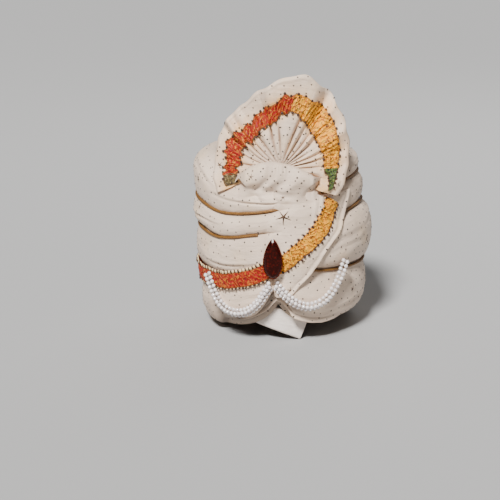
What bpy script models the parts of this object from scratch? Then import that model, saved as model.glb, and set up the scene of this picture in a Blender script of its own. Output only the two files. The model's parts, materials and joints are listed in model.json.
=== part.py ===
"""A tied turban with a pleated fan crest, on a hollow wound body that rests on its own hem.

Units are metres. +Z is up, -Y is the front, and the origin is the middle of the head opening on the
plane that the turban rests on. A turn is an angle round the body: 0 at the front, positive to +X.
"""

import math

import bmesh
import bpy
from mathutils import Vector

# The wound body and the head that it takes
BODY_WIDTH = 0.240
BODY_DEPTH = 0.270
BODY_HEIGHT = 0.222
HEAD_WIDTH = 0.160
HEAD_DEPTH = 0.195
GROOVE_DEPTH = 0.008
HEM_TUCK = 0.024
RIDGE_TUCK = 0.030
NOTCH_RISE = 0.033
NOTCH_TURN = 4.0
NOTCH_SPREAD = 14.0

# Cloth, trim and the clearances between pieces
CLOTH = 0.002
GAP = 0.0005
WRAP_GAP = 0.0008
BRAID_WIDTH = 0.022
BRAID_THICKNESS = 0.0009
CORD_DIAMETER = 0.0032

# The stiff strip inside the opening, with its free end hanging at the front
BAND_HEIGHT = 0.030
BAND_THICKNESS = 0.0018
BAND_RAISE = 0.026
BAND_END_TURN = 24.6
BAND_LAP = 350.0
BAND_FALL_TURN = 62.0

# The crown dome inside the top wrap
CROWN_THICKNESS = 0.0025
CROWN_RISE = 0.020
CROWN_DROP = 0.022

# The fan crest and the roll at its foot
CREST_REACH = 0.126
CREST_SHIFT = 0.001
CREST_SETBACK = 0.033
CREST_RAISE = 0.010
CREST_HUB = 0.0045
CREST_LEAN = 0.21
CREST_SWEEP_LEFT = 1.1
CREST_SWEEP_RIGHT = 2.7
CREST_CLOTH = 0.0012
CREST_STAND = 0.0075
CREST_LIFT = 0.0024
PLEATS = 14
PLEAT_DEPTH = 0.0032
PLEAT_FLARE = 0.030
ROLL_DEPTH = 0.024
ROLL_HEIGHT = 0.038
ROLL_LEFT = -0.050
ROLL_RIGHT = 0.062
ROLL_SINK = 0.0168
ROLL_ENDS = 0.45

# The brooch
BROOCH_LENGTH = 0.053
BROOCH_WIDTH = 0.0255
BROOCH_TURN = 1.5
BROOCH_DROP = 0.0118
STONE_SHOULDER = 0.0035
STONE_TABLE = 0.0062
SETTING_DEPTH = 0.0034
SETTING_WALL = 0.0013
STONE_RISE = 0.0044

# The two bead swags
BEAD_DIAMETER = 0.0052
STRANDS = 3
STRAND_SPREAD = 0.0040

# Wraps from the hem up: reach at each side, as shares of half the body's width or depth
WRAPS = (
    # name, left, front, right, back
    ("wrap_base", 0.912, 0.933, 0.928, 0.950),
    ("wrap_lower", 0.967, 0.985, 0.990, 1.000),
    ("wrap_upper", 1.000, 0.970, 0.885, 0.970),
    ("wrap_top", 1.000, 0.930, 0.830, 0.900),
)

# Heights of the hem, of the three grooves between the wraps and of the top ridge, by turn, as shares
# of the body height
LEVELS = (
    # turn, hem, lower groove, middle groove, upper groove, ridge
    (-180.0, -0.036, 0.360, 0.658, 0.847, 1.027),
    (-135.0, -0.020, 0.365, 0.640, 0.820, 1.070),
    (-90.0, -0.005, 0.362, 0.626, 0.797, 1.080),
    (-62.0, 0.030, 0.375, 0.640, 0.790, 1.060),
    (-36.0, 0.055, 0.395, 0.629, 0.763, 0.965),
    (-10.0, 0.072, 0.440, 0.672, 0.788, 0.945),
    (15.0, 0.080, 0.478, 0.712, 0.838, 0.945),
    (36.0, 0.085, 0.452, 0.728, 0.890, 0.965),
    (62.0, 0.105, 0.437, 0.763, 0.940, 1.030),
    (90.0, 0.095, 0.420, 0.765, 0.940, 1.060),
    (135.0, 0.020, 0.385, 0.705, 0.895, 1.063),
    (180.0, -0.036, 0.360, 0.658, 0.847, 1.027),
)

# The front drape: its two edges as turns, at heights that are shares of the body height
DRAPE_EDGES = (
    # height, inner edge, hem edge
    (0.300, 2.5, 12.0),
    (0.335, 1.5, 15.7),
    (0.375, 0.5, 19.0),
    (0.443, -1.5, 25.8),
    (0.583, -6.5, 35.5),
    (0.720, -6.0, 49.8),
    (0.823, -2.0, 57.5),
    (0.900, 2.0, 61.0),
)

# The braid's middle line: turn, and height as a share of the body height
BRAID_LINE = (
    # turn, height
    (-178.0, 0.345),
    (-130.0, 0.330),
    (-82.0, 0.338),
    (-48.0, 0.358),
    (-36.0, 0.362),
    (-24.0, 0.388),
    (-13.0, 0.418),
    (-5.0, 0.452),
    (7.3, 0.509),
    (15.7, 0.577),
    (23.5, 0.636),
    (37.0, 0.757),
    (44.0, 0.862),
)
BRAID_CHANGE_TURN = 0.5
BRAID_SEAT = 0.0007
BRAID_PART = 3.5

# The crest's outline: angle from +X, outer edge and plain margin as shares of its reach
CREST_OUTLINE = (
    # angle, edge, margin, width of the braid as a share of the braid's own
    (-23.0, 0.700, 0.093, 0.70),
    (-10.0, 0.720, 0.095, 0.75),
    (0.0, 0.725, 0.097, 0.80),
    (14.0, 0.755, 0.098, 0.90),
    (31.0, 0.815, 0.105, 1.25),
    (48.6, 0.878, 0.120, 1.35),
    (66.0, 0.968, 0.175, 1.15),
    (73.0, 1.000, 0.205, 1.05),
    (82.0, 0.950, 0.195, 1.10),
    (97.0, 0.835, 0.205, 1.05),
    (105.0, 0.790, 0.205, 0.95),
    (118.0, 0.720, 0.195, 0.85),
    (133.0, 0.700, 0.170, 0.90),
    (156.0, 0.660, 0.113, 1.00),
    (173.0, 0.635, 0.105, 0.95),
    (188.0, 0.650, 0.108, 0.90),
    (204.0, 0.655, 0.110, 0.80),
)
# Where the crest's braid changes colour, by angle from +X
CREST_COLOURS = (
    # name, from, to
    ("crest_braid_green", -19.0, 0.0),
    ("crest_braid_gold", 0.0, 76.0),
    ("crest_braid_red", 76.0, 200.0),
)

# Piping cords: the level each lies in, and the turns between which it runs
PIPINGS = (
    # name, level, from, to
    ("piping_upper", 3, -298.0, 7.0),
    ("piping_middle", 2, -307.0, -5.0),
    ("piping_lower", 1, 25.0, 177.0),
)

# Chosen route of each bead swag's innermost strand
SWAG_LEFT = (
    # turn, height above the resting plane
    (-47.5, 0.086),
    (-43.0, 0.0655),
    (-36.0, 0.0505),
    (-26.5, 0.045),
    (-16.5, 0.0500),
    (-9.6, 0.0625),
    (-5.2, 0.076),
    (-1.5, 0.087),
)
SWAG_RIGHT = (
    (4.2, 0.0885),
    (12.0, 0.0705),
    (21.0, 0.0595),
    (28.5, 0.059),
    (37.5, 0.069),
    (43.2, 0.087),
    (47.0, 0.111),
)
STRAND_CUT = 0.7

COLUMNS = 44
FRONT_WARP = 0.4
SECTION_STEPS = 8
FULLNESS = 2.2


def between(rows, at, column, closed=False):
    """The value of a column at a place along the first column, joined by smooth curves. A closed
    table's last row is its first again."""
    places = [row[0] for row in rows]
    values = [row[column] for row in rows]
    at = min(max(at, places[0]), places[-1])
    i = max(k for k in range(len(places) - 1) if places[k] <= at)
    span = places[i + 1] - places[i]
    share = (at - places[i]) / span

    def slope(k):
        """The curve's slope at row k, from its neighbours."""
        if closed and k in (0, len(places) - 1):
            return (values[1] - values[-2]) / (places[1] - places[0] + places[-1] - places[-2])
        low, high = max(k - 1, 0), min(k + 1, len(places) - 1)
        return (values[high] - values[low]) / (places[high] - places[low])

    square, cube = share**2, share**3
    return (
        (2 * cube - 3 * square + 1) * values[i]
        + (cube - 2 * square + share) * slope(i) * span
        + (3 * square - 2 * cube) * values[i + 1]
        + (cube - square) * slope(i + 1) * span
    )


def columns():
    """The turns of a ring's sections, closer together at the front, with one on the hem's notch."""
    steps = [2 * math.pi * i / COLUMNS for i in range(COLUMNS)]
    return [math.degrees(a - FRONT_WARP * math.sin(a)) + NOTCH_TURN for a in steps]


def columns_between(first, last):
    """The ends of a run and the rings' own section turns that lie well inside it, in order."""
    laps = [turn + 360 * lap for lap in (-1, 0, 1) for turn in columns()]
    return [first] + sorted(turn for turn in laps if first + 2 < turn < last - 2) + [last]


def level_height(index, turn):
    """Height of the boundary under wrap number index, or of the ridge after the last one."""
    height = between(LEVELS, (turn + 180) % 360 - 180, index + 1, closed=True) * BODY_HEIGHT
    if index == 0:
        away = abs((turn - NOTCH_TURN + 180) % 360 - 180)
        height += NOTCH_RISE * math.exp(-away / NOTCH_SPREAD)
    return height


def wrap_reach(index, turn):
    """How far wrap number index reaches along X and Y at its fullest, at a turn."""
    _, left, front, right, back = WRAPS[index]
    a = math.radians(turn)
    across = (right if math.sin(a) > 0 else left) * BODY_WIDTH / 2
    along = (front if math.cos(a) > 0 else back) * BODY_DEPTH / 2
    return across, along


def on_ellipse(reach, turn, offset=0.0):
    """The point of an ellipse at a turn, moved outward by an offset."""
    a = math.radians(turn)
    return Vector(((reach[0] + offset) * math.sin(a), -(reach[1] + offset) * math.cos(a)))


def size_at(reach, turn):
    """Distance from the axis of an ellipse's point at a turn."""
    return on_ellipse(reach, turn).length


def tucks(index, turn):
    """How far a wrap draws in at its lower and its upper boundary."""
    own = size_at(wrap_reach(index, turn), turn)

    def depth(other):
        """Drawn in to the groove that this wrap shares with its neighbour."""
        return own - min(own, size_at(wrap_reach(other, turn), turn)) + GROOVE_DEPTH

    low = HEM_TUCK if index == 0 else depth(index - 1)
    high = RIDGE_TUCK if index == len(WRAPS) - 1 else depth(index + 1)
    return low, high


def bounds(index, turn):
    """A wrap's lower and upper height at a turn, with half the seat gap taken off at each groove."""
    low = level_height(index, turn) + (WRAP_GAP / 2 if index else 0.0)
    high = level_height(index + 1, turn) - (WRAP_GAP / 2 if index < len(WRAPS) - 1 else 0.0)
    return low, high


def drawn_in(index, turn, height):
    """How far inside its fullest reach a wrap's outer skin lies at a height."""
    low, high = bounds(index, turn)
    place = min(max(2 * (height - low) / (high - low) - 1, -1.0), 1.0)
    tuck = tucks(index, turn)[0 if place < 0 else 1]
    return tuck * (1 - (1 - abs(place) ** FULLNESS) ** (1 / FULLNESS))


def wrap_at(turn, height):
    """The number of the wrap that holds a height at a turn."""
    found = [k for k in range(len(WRAPS)) if height >= level_height(k, turn)]
    return max(found, default=0)


def skin_reach(turn, height):
    """Reach along X and Y of the smooth skin that spans the grooves at a turn and height."""
    middles = [(level_height(k, turn) + level_height(k + 1, turn)) / 2 for k in range(len(WRAPS))]
    index = wrap_at(turn, height)
    reach = [value - drawn_in(index, turn, height) for value in wrap_reach(index, turn)]
    if height <= middles[0]:
        return tuple(reach)
    for k in range(len(WRAPS) - 1):
        if middles[k] <= height <= middles[k + 1]:
            share = (height - middles[k]) / (middles[k + 1] - middles[k])
            share = share * share * (3 - 2 * share)
            ends = wrap_reach(k, turn), wrap_reach(k + 1, turn)
            bridge = [low + (high - low) * share for low, high in zip(*ends)]
            reach = [max(pair) for pair in zip(reach, bridge)]
    return tuple(reach)


def skin_point(turn, height, offset=0.0):
    """A point on the spanning skin, moved outward by an offset."""
    flat = on_ellipse(skin_reach(turn, height), turn, offset)
    return Vector((flat.x, flat.y, height))


def head_reach(offset=0.0):
    """Half the head opening's width and depth, grown by an offset."""
    return HEAD_WIDTH / 2 + offset, HEAD_DEPTH / 2 + offset


def wall_reach():
    """Half the width and depth of the wound wall's inner face, outside the head band."""
    return head_reach(BAND_THICKNESS + GAP)


def material(name, colour, roughness, metallic=0.0):
    """A plain finish, made once."""
    made = bpy.data.materials.get(name)
    if made is None:
        made = bpy.data.materials.new(name)
        made.use_nodes = True
        shader = made.node_tree.nodes["Principled BSDF"]
        shader.inputs["Base Color"].default_value = (*colour, 1.0)
        shader.inputs["Roughness"].default_value = roughness
        shader.inputs["Metallic"].default_value = metallic
    return made


def finish(name, mesh, finish_material):
    """Puts a mesh in the turban's collection as a named piece."""
    piece = bpy.data.objects.new(name, mesh)
    mesh.materials.append(finish_material)
    bpy.data.collections["turban"].objects.link(piece)
    return piece


def skinned(name, sections, finish_material, round_again=False, caps=False, sharp=50.0):
    """A skin through sections with equal numbers of points. Sections are closed outlines if caps or
    round_again is set, and open rows of a sheet otherwise."""
    shape = bmesh.new()
    rings = [[shape.verts.new(point) for point in section] for section in sections]
    closed = caps or round_again
    count = len(rings[0])
    for i in range(len(rings) if round_again else len(rings) - 1):
        here, there = rings[i], rings[(i + 1) % len(rings)]
        for j in range(count if closed else count - 1):
            k = (j + 1) % count
            shape.faces.new((here[j], here[k], there[k], there[j]))
    if caps:
        shape.faces.new(rings[0])
        shape.faces.new(rings[-1])
    if closed:
        bmesh.ops.recalc_face_normals(shape, faces=shape.faces)
    mesh = bpy.data.meshes.new(name)
    shape.to_mesh(mesh)
    shape.free()
    mesh.shade_smooth()
    mesh.set_sharp_from_angle(angle=math.radians(sharp))
    return finish(name, mesh, finish_material)


def sheet(name, rows, thickness, finish_material):
    """A sheet through rows of points, thickened away from the body."""
    piece = skinned(name, rows, finish_material)
    wall = piece.modifiers.new("wall", "SOLIDIFY")
    wall.thickness = thickness
    wall.offset = 1.0
    wall.use_even_offset = True
    return piece


def tube(name, points, diameter, sides_each_quarter, finish_material):
    """A round cord or strand along points, with closed ends."""
    curve = bpy.data.curves.new(name, "CURVE")
    curve.dimensions = "3D"
    curve.bevel_depth = diameter / 2
    curve.bevel_resolution = sides_each_quarter
    curve.use_fill_caps = True
    line = curve.splines.new("POLY")
    line.points.add(len(points) - 1)
    for place, point in zip(line.points, points):
        place.co = (*point, 1.0)
    piece = bpy.data.objects.new(name, curve)
    curve.materials.append(finish_material)
    bpy.data.collections["turban"].objects.link(piece)
    return piece


def wrap_section(index, turn):
    """A wrap's closed outline at a turn: its full outer side, then its inner face."""
    low, high = bounds(index, turn)
    middle, half = (low + high) / 2, (high - low) / 2
    points = []
    for step in range(SECTION_STEPS + 1):
        place = math.sin(math.pi * (step / SECTION_STEPS - 0.5))
        height = middle + half * place
        flat = on_ellipse(wrap_reach(index, turn), turn, -drawn_in(index, turn, height))
        points.append((flat.x, flat.y, max(height, 0.0)))
    inner = on_ellipse(wall_reach(), turn)
    shoulder = high - (RIDGE_TUCK - CROWN_DROP if index == len(WRAPS) - 1 else 0.0)
    points.append((inner.x, inner.y, shoulder))
    points.append((inner.x, inner.y, max(low, 0.0)))
    return points


def wraps(cloth):
    """The four wound rolls, each a closed ring round the head opening."""
    for index, row in enumerate(WRAPS):
        sections = [wrap_section(index, turn) for turn in columns()]
        skinned(row[0], sections, cloth, round_again=True)


def crown(cloth):
    """The shallow dome that closes the top wrap."""
    rings = 4
    turns = columns()
    sections = []
    for ring in range(rings + 1):
        share = 0.06 + 0.94 * ring / rings
        row = []
        for turn in turns + turns[:1]:
            flat = on_ellipse(wall_reach(), turn, -GAP) * share
            rim = level_height(len(WRAPS), turn) - CROWN_DROP
            row.append((flat.x, flat.y, rim + CROWN_RISE * (1 - share**2) - CROWN_THICKNESS))
        sections.append(row)
    shape = bmesh.new()
    grid = [[shape.verts.new(point) for point in row[:-1]] for row in sections]
    for inner, outer in zip(grid, grid[1:]):
        for j in range(len(inner)):
            k = (j + 1) % len(inner)
            shape.faces.new((inner[j], outer[j], outer[k], inner[k]))
    shape.faces.new(grid[0])
    mesh = bpy.data.meshes.new("crown")
    bmesh.ops.recalc_face_normals(shape, faces=shape.faces)
    if shape.faces[0].normal.z < 0:
        bmesh.ops.reverse_faces(shape, faces=shape.faces)
    shape.to_mesh(mesh)
    shape.free()
    mesh.shade_smooth()
    piece = finish("crown", mesh, cloth)
    wall = piece.modifiers.new("wall", "SOLIDIFY")
    wall.thickness = CROWN_THICKNESS
    wall.offset = 0.0


def head_band(cloth):
    """The stiff strip round the inside of the opening. Its free end falls out at the front."""
    turns = columns_between(BAND_END_TURN - BAND_LAP, BAND_END_TURN)
    middle = sum(head_reach()) / 2
    sections = []
    for turn in turns:
        fallen = min(max((turn - BAND_END_TURN + BAND_FALL_TURN) / BAND_FALL_TURN, 0.0), 1.0)
        foot = BAND_RAISE * (1 - fallen**1.6)
        slope = math.atan(BAND_RAISE * 1.6 * fallen**0.6 / math.radians(BAND_FALL_TURN) / middle)
        lean = math.degrees(BAND_HEIGHT * math.sin(slope) / middle)
        top = foot + BAND_HEIGHT * math.cos(slope)
        outline = []
        for height, at in ((foot, turn), (top, turn + lean)):
            for offset in (0.0, BAND_THICKNESS) if height == foot else (BAND_THICKNESS, 0.0):
                flat = on_ellipse(head_reach(offset), at)
                outline.append((flat.x, flat.y, height))
        sections.append(outline)
    skinned("head_band", sections, cloth, caps=True, sharp=30.0)


def drape_row(height, count):
    """Turns across the front drape at a height share, from its inner edge to its hem."""
    inner, hem = between(DRAPE_EDGES, height, 1), between(DRAPE_EDGES, height, 2)
    return [inner + (hem - inner) * i / count for i in range(count + 1)]


def front_drape(cloth):
    """The wide outer turn of cloth that crosses the front from the crest to the hem's notch."""
    rows, across = 22, 8
    low, high = DRAPE_EDGES[0][0], DRAPE_EDGES[-1][0]
    sections = []
    for i in range(rows + 1):
        share = low + (high - low) * i / rows
        turns = drape_row(share, across)
        sections.append([skin_point(turn, share * BODY_HEIGHT, GAP) for turn in turns])
    sheet("front_drape", sections, CLOTH, cloth)


def braid_offset(turn):
    """How far the braid lies off the skin: on the drape past its colour change, on the wraps before."""
    return GAP + CLOTH + BRAID_SEAT if turn > BRAID_CHANGE_TURN else GAP


def braid_strip(name, first, last, pitch, finish_material):
    """A run of the braid along its middle line, with a section every few degrees."""
    count = round(abs(last - first) / pitch)
    step = (last - first) / count
    sections = []
    for i in range(count + 1):
        turn = first + step * i
        here = skin_point(turn, between(BRAID_LINE, turn, 1) * BODY_HEIGHT)
        ahead = skin_point(turn + 1, between(BRAID_LINE, turn + 1, 1) * BODY_HEIGHT)
        slope = math.atan2(ahead.z - here.z, (ahead.xy - here.xy).length)
        row = []
        for side in (-0.5, 0.0, 0.5):
            shift = BRAID_WIDTH * side
            at_turn = turn - math.degrees(shift * math.sin(slope) / here.xy.length)
            row.append(skin_point(at_turn, here.z + shift * math.cos(slope), braid_offset(turn)))
        sections.append(row)
    sheet(name, [list(line) for line in zip(*sections)], BRAID_THICKNESS, finish_material)


def cord_seat(level, turn):
    """A cord's middle in a groove: just far enough out for both wraps to clear it."""
    groove = level_height(level, turn)
    floor = min(size_at(wrap_reach(k, turn), turn) for k in (level - 1, level)) - GROOVE_DEPTH
    need = (CORD_DIAMETER / 2 + GAP) * 3.1
    rise = GROOVE_DEPTH
    for tenth in range(2, 20):
        rise = tenth * GROOVE_DEPTH / 20
        opening = []
        for index, side in ((level - 1, 1), (level, 0)):
            low, high = bounds(index, turn)
            share = min(rise / tucks(index, turn)[side], 1.0)
            place = (1 - share**FULLNESS) ** (1 / FULLNESS)
            opening.append((high - low) / 2 * (1 - place))
        if sum(opening) >= need:
            break
    outward = on_ellipse(wrap_reach(level, turn), turn).normalized()
    flat = outward * (floor + rise)
    return Vector((flat.x, flat.y, groove + (opening[1] - opening[0]) / 2))


def pipings(gold):
    """The gold cords that lie in the grooves between the wraps."""
    for name, level, first, last in PIPINGS:
        points = [cord_seat(level, turn) for turn in columns_between(first, last)]
        tube(name, points, CORD_DIAMETER, 1, gold)


def crest_rows():
    """Shares of the way from hub to braid, across the braid, and across the margin, in order."""
    plain = [(0, share) for share in (0.0, 0.33, 0.67)]
    braid = [(1, share) for share in (0.0, 0.5)]
    margin = [(2, share) for share in (0.0, 0.5, 1.0)]
    return plain + braid + margin


def crest_radius(angle, zone, share):
    """Distance from the crest's foot, by angle, zone and share of that zone."""
    edge = between(CREST_OUTLINE, angle, 1) * CREST_REACH
    outer = edge - between(CREST_OUTLINE, angle, 2) * CREST_REACH
    inner = outer - between(CREST_OUTLINE, angle, 3) * BRAID_WIDTH
    ends = ((CREST_HUB, inner), (inner, outer), (outer, edge))[zone]
    return ends[0] + (ends[1] - ends[0]) * share


def crest_foot():
    """The point that the pleats run out from, set back from the front of the body and above it."""
    return Vector((CREST_SHIFT, CREST_SETBACK - BODY_DEPTH / 2, BODY_HEIGHT + CREST_RAISE))


def clear_of_body(place, stand):
    """A point moved forward, if need be, to stand off the body's skin."""
    turn = 0.0
    for _ in range(4):
        across = skin_reach(turn, place.z)[0]
        turn = math.degrees(math.asin(max(min(place.x / across, 0.98), -0.98)))
    return Vector((place.x, min(place.y, skin_point(turn, place.z).y - stand), place.z))


def crest_point(angle, radius, forward=0.0):
    """A point of the fan, with its pleats, moved forward by an offset."""
    a = math.radians(angle)
    first, last = CREST_OUTLINE[0][0], CREST_OUTLINE[-1][0]
    x, z = radius * math.cos(a), radius * math.sin(a)
    share = (angle - first) / (last - first)
    wave = math.sin(2 * math.pi * PLEATS * share + 0.9 * math.sin(9.0 * share))
    depth = PLEAT_DEPTH * min((radius - CREST_HUB) / PLEAT_FLARE, 1.0)
    sweep = CREST_SWEEP_LEFT if x < 0 else CREST_SWEEP_RIGHT
    y = CREST_LEAN * z + sweep * x * x
    place = clear_of_body(Vector((x, y, z)) + crest_foot(), CREST_STAND)
    return place - Vector((0, depth * wave + forward, 0))


def crest_angles(first, last):
    """Angles across part of the fan, four for each pleat, on the fan's own columns."""
    low, high = CREST_OUTLINE[0][0], CREST_OUTLINE[-1][0]
    count = PLEATS * 4
    every = [low + (high - low) * i / count for i in range(count + 1)]
    step = (high - low) / count
    return [a for a in every if first - step / 2 <= a <= last + step / 2]


def crest(cloth, braids):
    """The pleated fan, and the braid that follows its edge in three colours."""
    angles = crest_angles(CREST_OUTLINE[0][0], CREST_OUTLINE[-1][0])
    rows = [[crest_point(a, crest_radius(a, *row)) for a in angles] for row in crest_rows()]
    sheet("crest_fan", rows, CREST_CLOTH, cloth)
    for name, first, last in CREST_COLOURS:
        across = crest_angles(first, last)
        if last < CREST_COLOURS[-1][2]:
            across = across[:-1]
        rows = []
        for share in (0.02, 0.5, 0.98):
            rows.append([crest_point(a, crest_radius(a, 1, share), CREST_LIFT) for a in across])
        sheet(name, rows, BRAID_THICKNESS, braids[name])


def crest_roll(cloth):
    """The padded roll across the foot of the fan, just in front of the pleats."""
    steps, sides = 14, 12
    foot = BODY_HEIGHT - ROLL_SINK
    middle = crest_foot().y - PLEAT_DEPTH - CREST_CLOTH - GAP - ROLL_DEPTH / 2
    sections = []
    for i in range(steps + 1):
        share = i / steps
        fullness = math.sin(math.pi * (0.04 + 0.92 * share)) ** ROLL_ENDS
        depth, tall = ROLL_DEPTH / 2 * fullness, ROLL_HEIGHT / 2 * fullness
        x = ROLL_LEFT + (ROLL_RIGHT - ROLL_LEFT) * share
        outline = []
        for k in range(sides):
            a = 2 * math.pi * k / sides
            outline.append((x, middle - depth * math.cos(a), foot + tall * (1 + math.sin(a))))
        sections.append(outline)
    skinned("crest_roll", sections, cloth, caps=True)


def drop_outline(length, width, sides=20):
    """A pear-shaped outline, point upward, as pairs of across and up from its round foot."""
    points = []
    for k in range(sides):
        a = 2 * math.pi * k / sides
        up = (1 - math.cos(a)) / 2
        across = math.sin(a) * (1 - 0.42 * up) * (1 + 0.12 * math.sin(math.pi * up))
        points.append((across * width / 2 * 1.12, up * length))
    return points


def drop_solid(name, levels, finish_material, sharp):
    """A pear-shaped solid on the front of the body. Levels are pairs of inset and height."""
    foot = between(BRAID_LINE, BROOCH_TURN, 1) * BODY_HEIGHT - BROOCH_DROP
    outward = Vector((math.sin(math.radians(BROOCH_TURN)), -math.cos(math.radians(BROOCH_TURN)), 0))
    side = Vector((0, 0, 1)).cross(outward)
    under = GAP + CLOTH + BRAID_SEAT + BRAID_THICKNESS
    backing = [skin_point(BROOCH_TURN, foot + BROOCH_LENGTH * i / 8, under) for i in range(9)]
    stand = max(backing, key=lambda point: point.xy.length)
    sections = []
    for inset, height in levels:
        outline = drop_outline(BROOCH_LENGTH - 2 * inset, BROOCH_WIDTH - 2 * inset)
        section = []
        for across, up in outline:
            place = stand.copy()
            place.z = foot + inset
            section.append(place + side * across + Vector((0, 0, up)) + outward * height)
        sections.append(section)
    return skinned(name, sections, finish_material, caps=True, sharp=sharp)


def brooch(metal, stone):
    """A pear-shaped faceted stone in a plain bezel."""
    inside = SETTING_WALL
    floor = SETTING_DEPTH * 0.4
    drop_solid("brooch_setting", ((0, 0), (0, SETTING_DEPTH), (inside, SETTING_DEPTH), (inside, floor)), metal, 30.0)
    edge = inside + GAP
    levels = (
        (edge, floor + GAP),
        (edge, SETTING_DEPTH + GAP),
        (edge + STONE_SHOULDER, SETTING_DEPTH + STONE_RISE * 0.75),
        (edge + STONE_TABLE, SETTING_DEPTH + STONE_RISE),
    )
    drop_solid("brooch_stone", levels, stone, 5.0)


def strand_points(route, strand, under):
    """Points of one strand of a swag on cloth of thickness under, outside the strand before it.
    Every other strand lies in the valley over its neighbours. The end under the brooch is cut
    shorter on each strand."""
    count = 10
    offset = strand * STRAND_SPREAD
    lift = math.sqrt((BEAD_DIAMETER + GAP) ** 2 - STRAND_SPREAD ** 2) * (strand % 2)
    ends = [route[0][0], route[-1][0]]
    inner = 0 if abs(ends[0]) < abs(ends[1]) else 1
    ends[inner] += STRAND_CUT * strand * (1 if inner == 0 else -1)
    stand = GAP + under + GAP + BEAD_DIAMETER / 2 + lift
    points = []
    for i in range(count + 1):
        turn = ends[0] + (ends[1] - ends[0]) * i / count
        height = between(route, turn, 1)
        size = skin_point(turn, height).xy.length
        rise = (between(route, turn + 0.5, 1) - between(route, turn - 0.5, 1)) / (size * math.radians(1.0))
        slope = math.atan(rise)
        at_turn = turn + math.degrees(offset * math.sin(slope) / size)
        points.append(skin_point(at_turn, height - offset * math.cos(slope), stand))
    return points


def swags(pearl):
    """The strands of beads that hang in two swags from under the brooch."""
    for side, route, under in (("left", SWAG_LEFT, BRAID_THICKNESS), ("right", SWAG_RIGHT, CLOTH)):
        for strand in range(STRANDS):
            points = strand_points(route, strand, under)
            tube(f"bead_strand_{side}_{strand + 1}", points, BEAD_DIAMETER, 2, pearl)


def main():
    """Builds the turban in an empty scene."""
    for item in list(bpy.data.objects):
        bpy.data.objects.remove(item)
    bpy.context.scene.collection.children.link(bpy.data.collections.new("turban"))
    cloth = material("cream_cloth", (0.84, 0.79, 0.74), 0.75)
    band = material("plain_cotton", (0.86, 0.83, 0.81), 0.85)
    gold = material("gold_cord", (0.42, 0.24, 0.05), 0.45, 0.4)
    braids = {
        "crest_braid_red": material("red_braid", (0.62, 0.07, 0.03), 0.6),
        "crest_braid_gold": material("gold_braid", (0.80, 0.45, 0.10), 0.5, 0.3),
        "crest_braid_green": material("green_braid", (0.16, 0.26, 0.10), 0.6),
    }
    wraps(cloth)
    crown(cloth)
    head_band(band)
    front_drape(cloth)
    gold_start, red_end = BRAID_CHANGE_TURN + BRAID_PART, BRAID_CHANGE_TURN - BRAID_PART
    braid_strip("drape_braid_gold", gold_start, BRAID_LINE[-1][0], 2.6, braids["crest_braid_gold"])
    braid_strip("drape_braid_red", BRAID_LINE[0][0], red_end, 5.0, braids["crest_braid_red"])
    pipings(gold)
    crest(cloth, braids)
    crest_roll(cloth)
    brooch(material("brooch_metal", (0.55, 0.42, 0.22), 0.3, 1.0), material("garnet_glass", (0.10, 0.005, 0.005), 0.1))
    swags(material("pearl", (0.82, 0.80, 0.80), 0.25))


main()
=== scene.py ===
"""Dresses a tied turban: wound silk, a pleated fan crest, crinkled braid, bead swags and a brooch.

Metres, +Z up, -Y the front. A turn is an angle round the body: 0 at the front, positive towards +X.
"""

import json
import logging
import math
from dataclasses import dataclass
from enum import Enum

import bmesh
import bpy
import numpy as np
from mathutils import Matrix, Vector
from mathutils.bvhtree import BVHTree

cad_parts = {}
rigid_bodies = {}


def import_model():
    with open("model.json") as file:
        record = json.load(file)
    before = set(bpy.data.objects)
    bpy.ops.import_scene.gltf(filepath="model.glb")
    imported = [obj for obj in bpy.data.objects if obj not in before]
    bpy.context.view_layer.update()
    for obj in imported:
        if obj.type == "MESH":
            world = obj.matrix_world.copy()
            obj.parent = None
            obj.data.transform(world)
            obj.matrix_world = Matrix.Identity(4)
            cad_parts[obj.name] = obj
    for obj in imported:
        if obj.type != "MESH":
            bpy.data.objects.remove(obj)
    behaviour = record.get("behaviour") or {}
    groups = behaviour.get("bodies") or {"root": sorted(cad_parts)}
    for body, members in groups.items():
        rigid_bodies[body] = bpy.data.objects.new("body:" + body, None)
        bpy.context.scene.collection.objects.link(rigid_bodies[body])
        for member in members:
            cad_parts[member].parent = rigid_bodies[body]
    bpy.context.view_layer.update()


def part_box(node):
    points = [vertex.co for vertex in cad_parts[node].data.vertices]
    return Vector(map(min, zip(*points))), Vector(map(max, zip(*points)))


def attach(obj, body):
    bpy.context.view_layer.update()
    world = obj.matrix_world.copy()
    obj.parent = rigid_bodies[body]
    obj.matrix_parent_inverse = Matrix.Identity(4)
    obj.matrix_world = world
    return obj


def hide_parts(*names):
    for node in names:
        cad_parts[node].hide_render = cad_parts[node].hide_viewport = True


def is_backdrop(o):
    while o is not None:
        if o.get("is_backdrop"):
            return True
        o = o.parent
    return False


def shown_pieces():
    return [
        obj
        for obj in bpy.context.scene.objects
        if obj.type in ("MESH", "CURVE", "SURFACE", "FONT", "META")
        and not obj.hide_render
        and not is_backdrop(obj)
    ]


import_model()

LOG = logging.getLogger("turban")
Array = np.ndarray
# points nearer than this become one
WELD = 0.00001
# how far outside the turban a look at it starts
LOOK_FROM = 0.3


# Sums and curves

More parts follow.
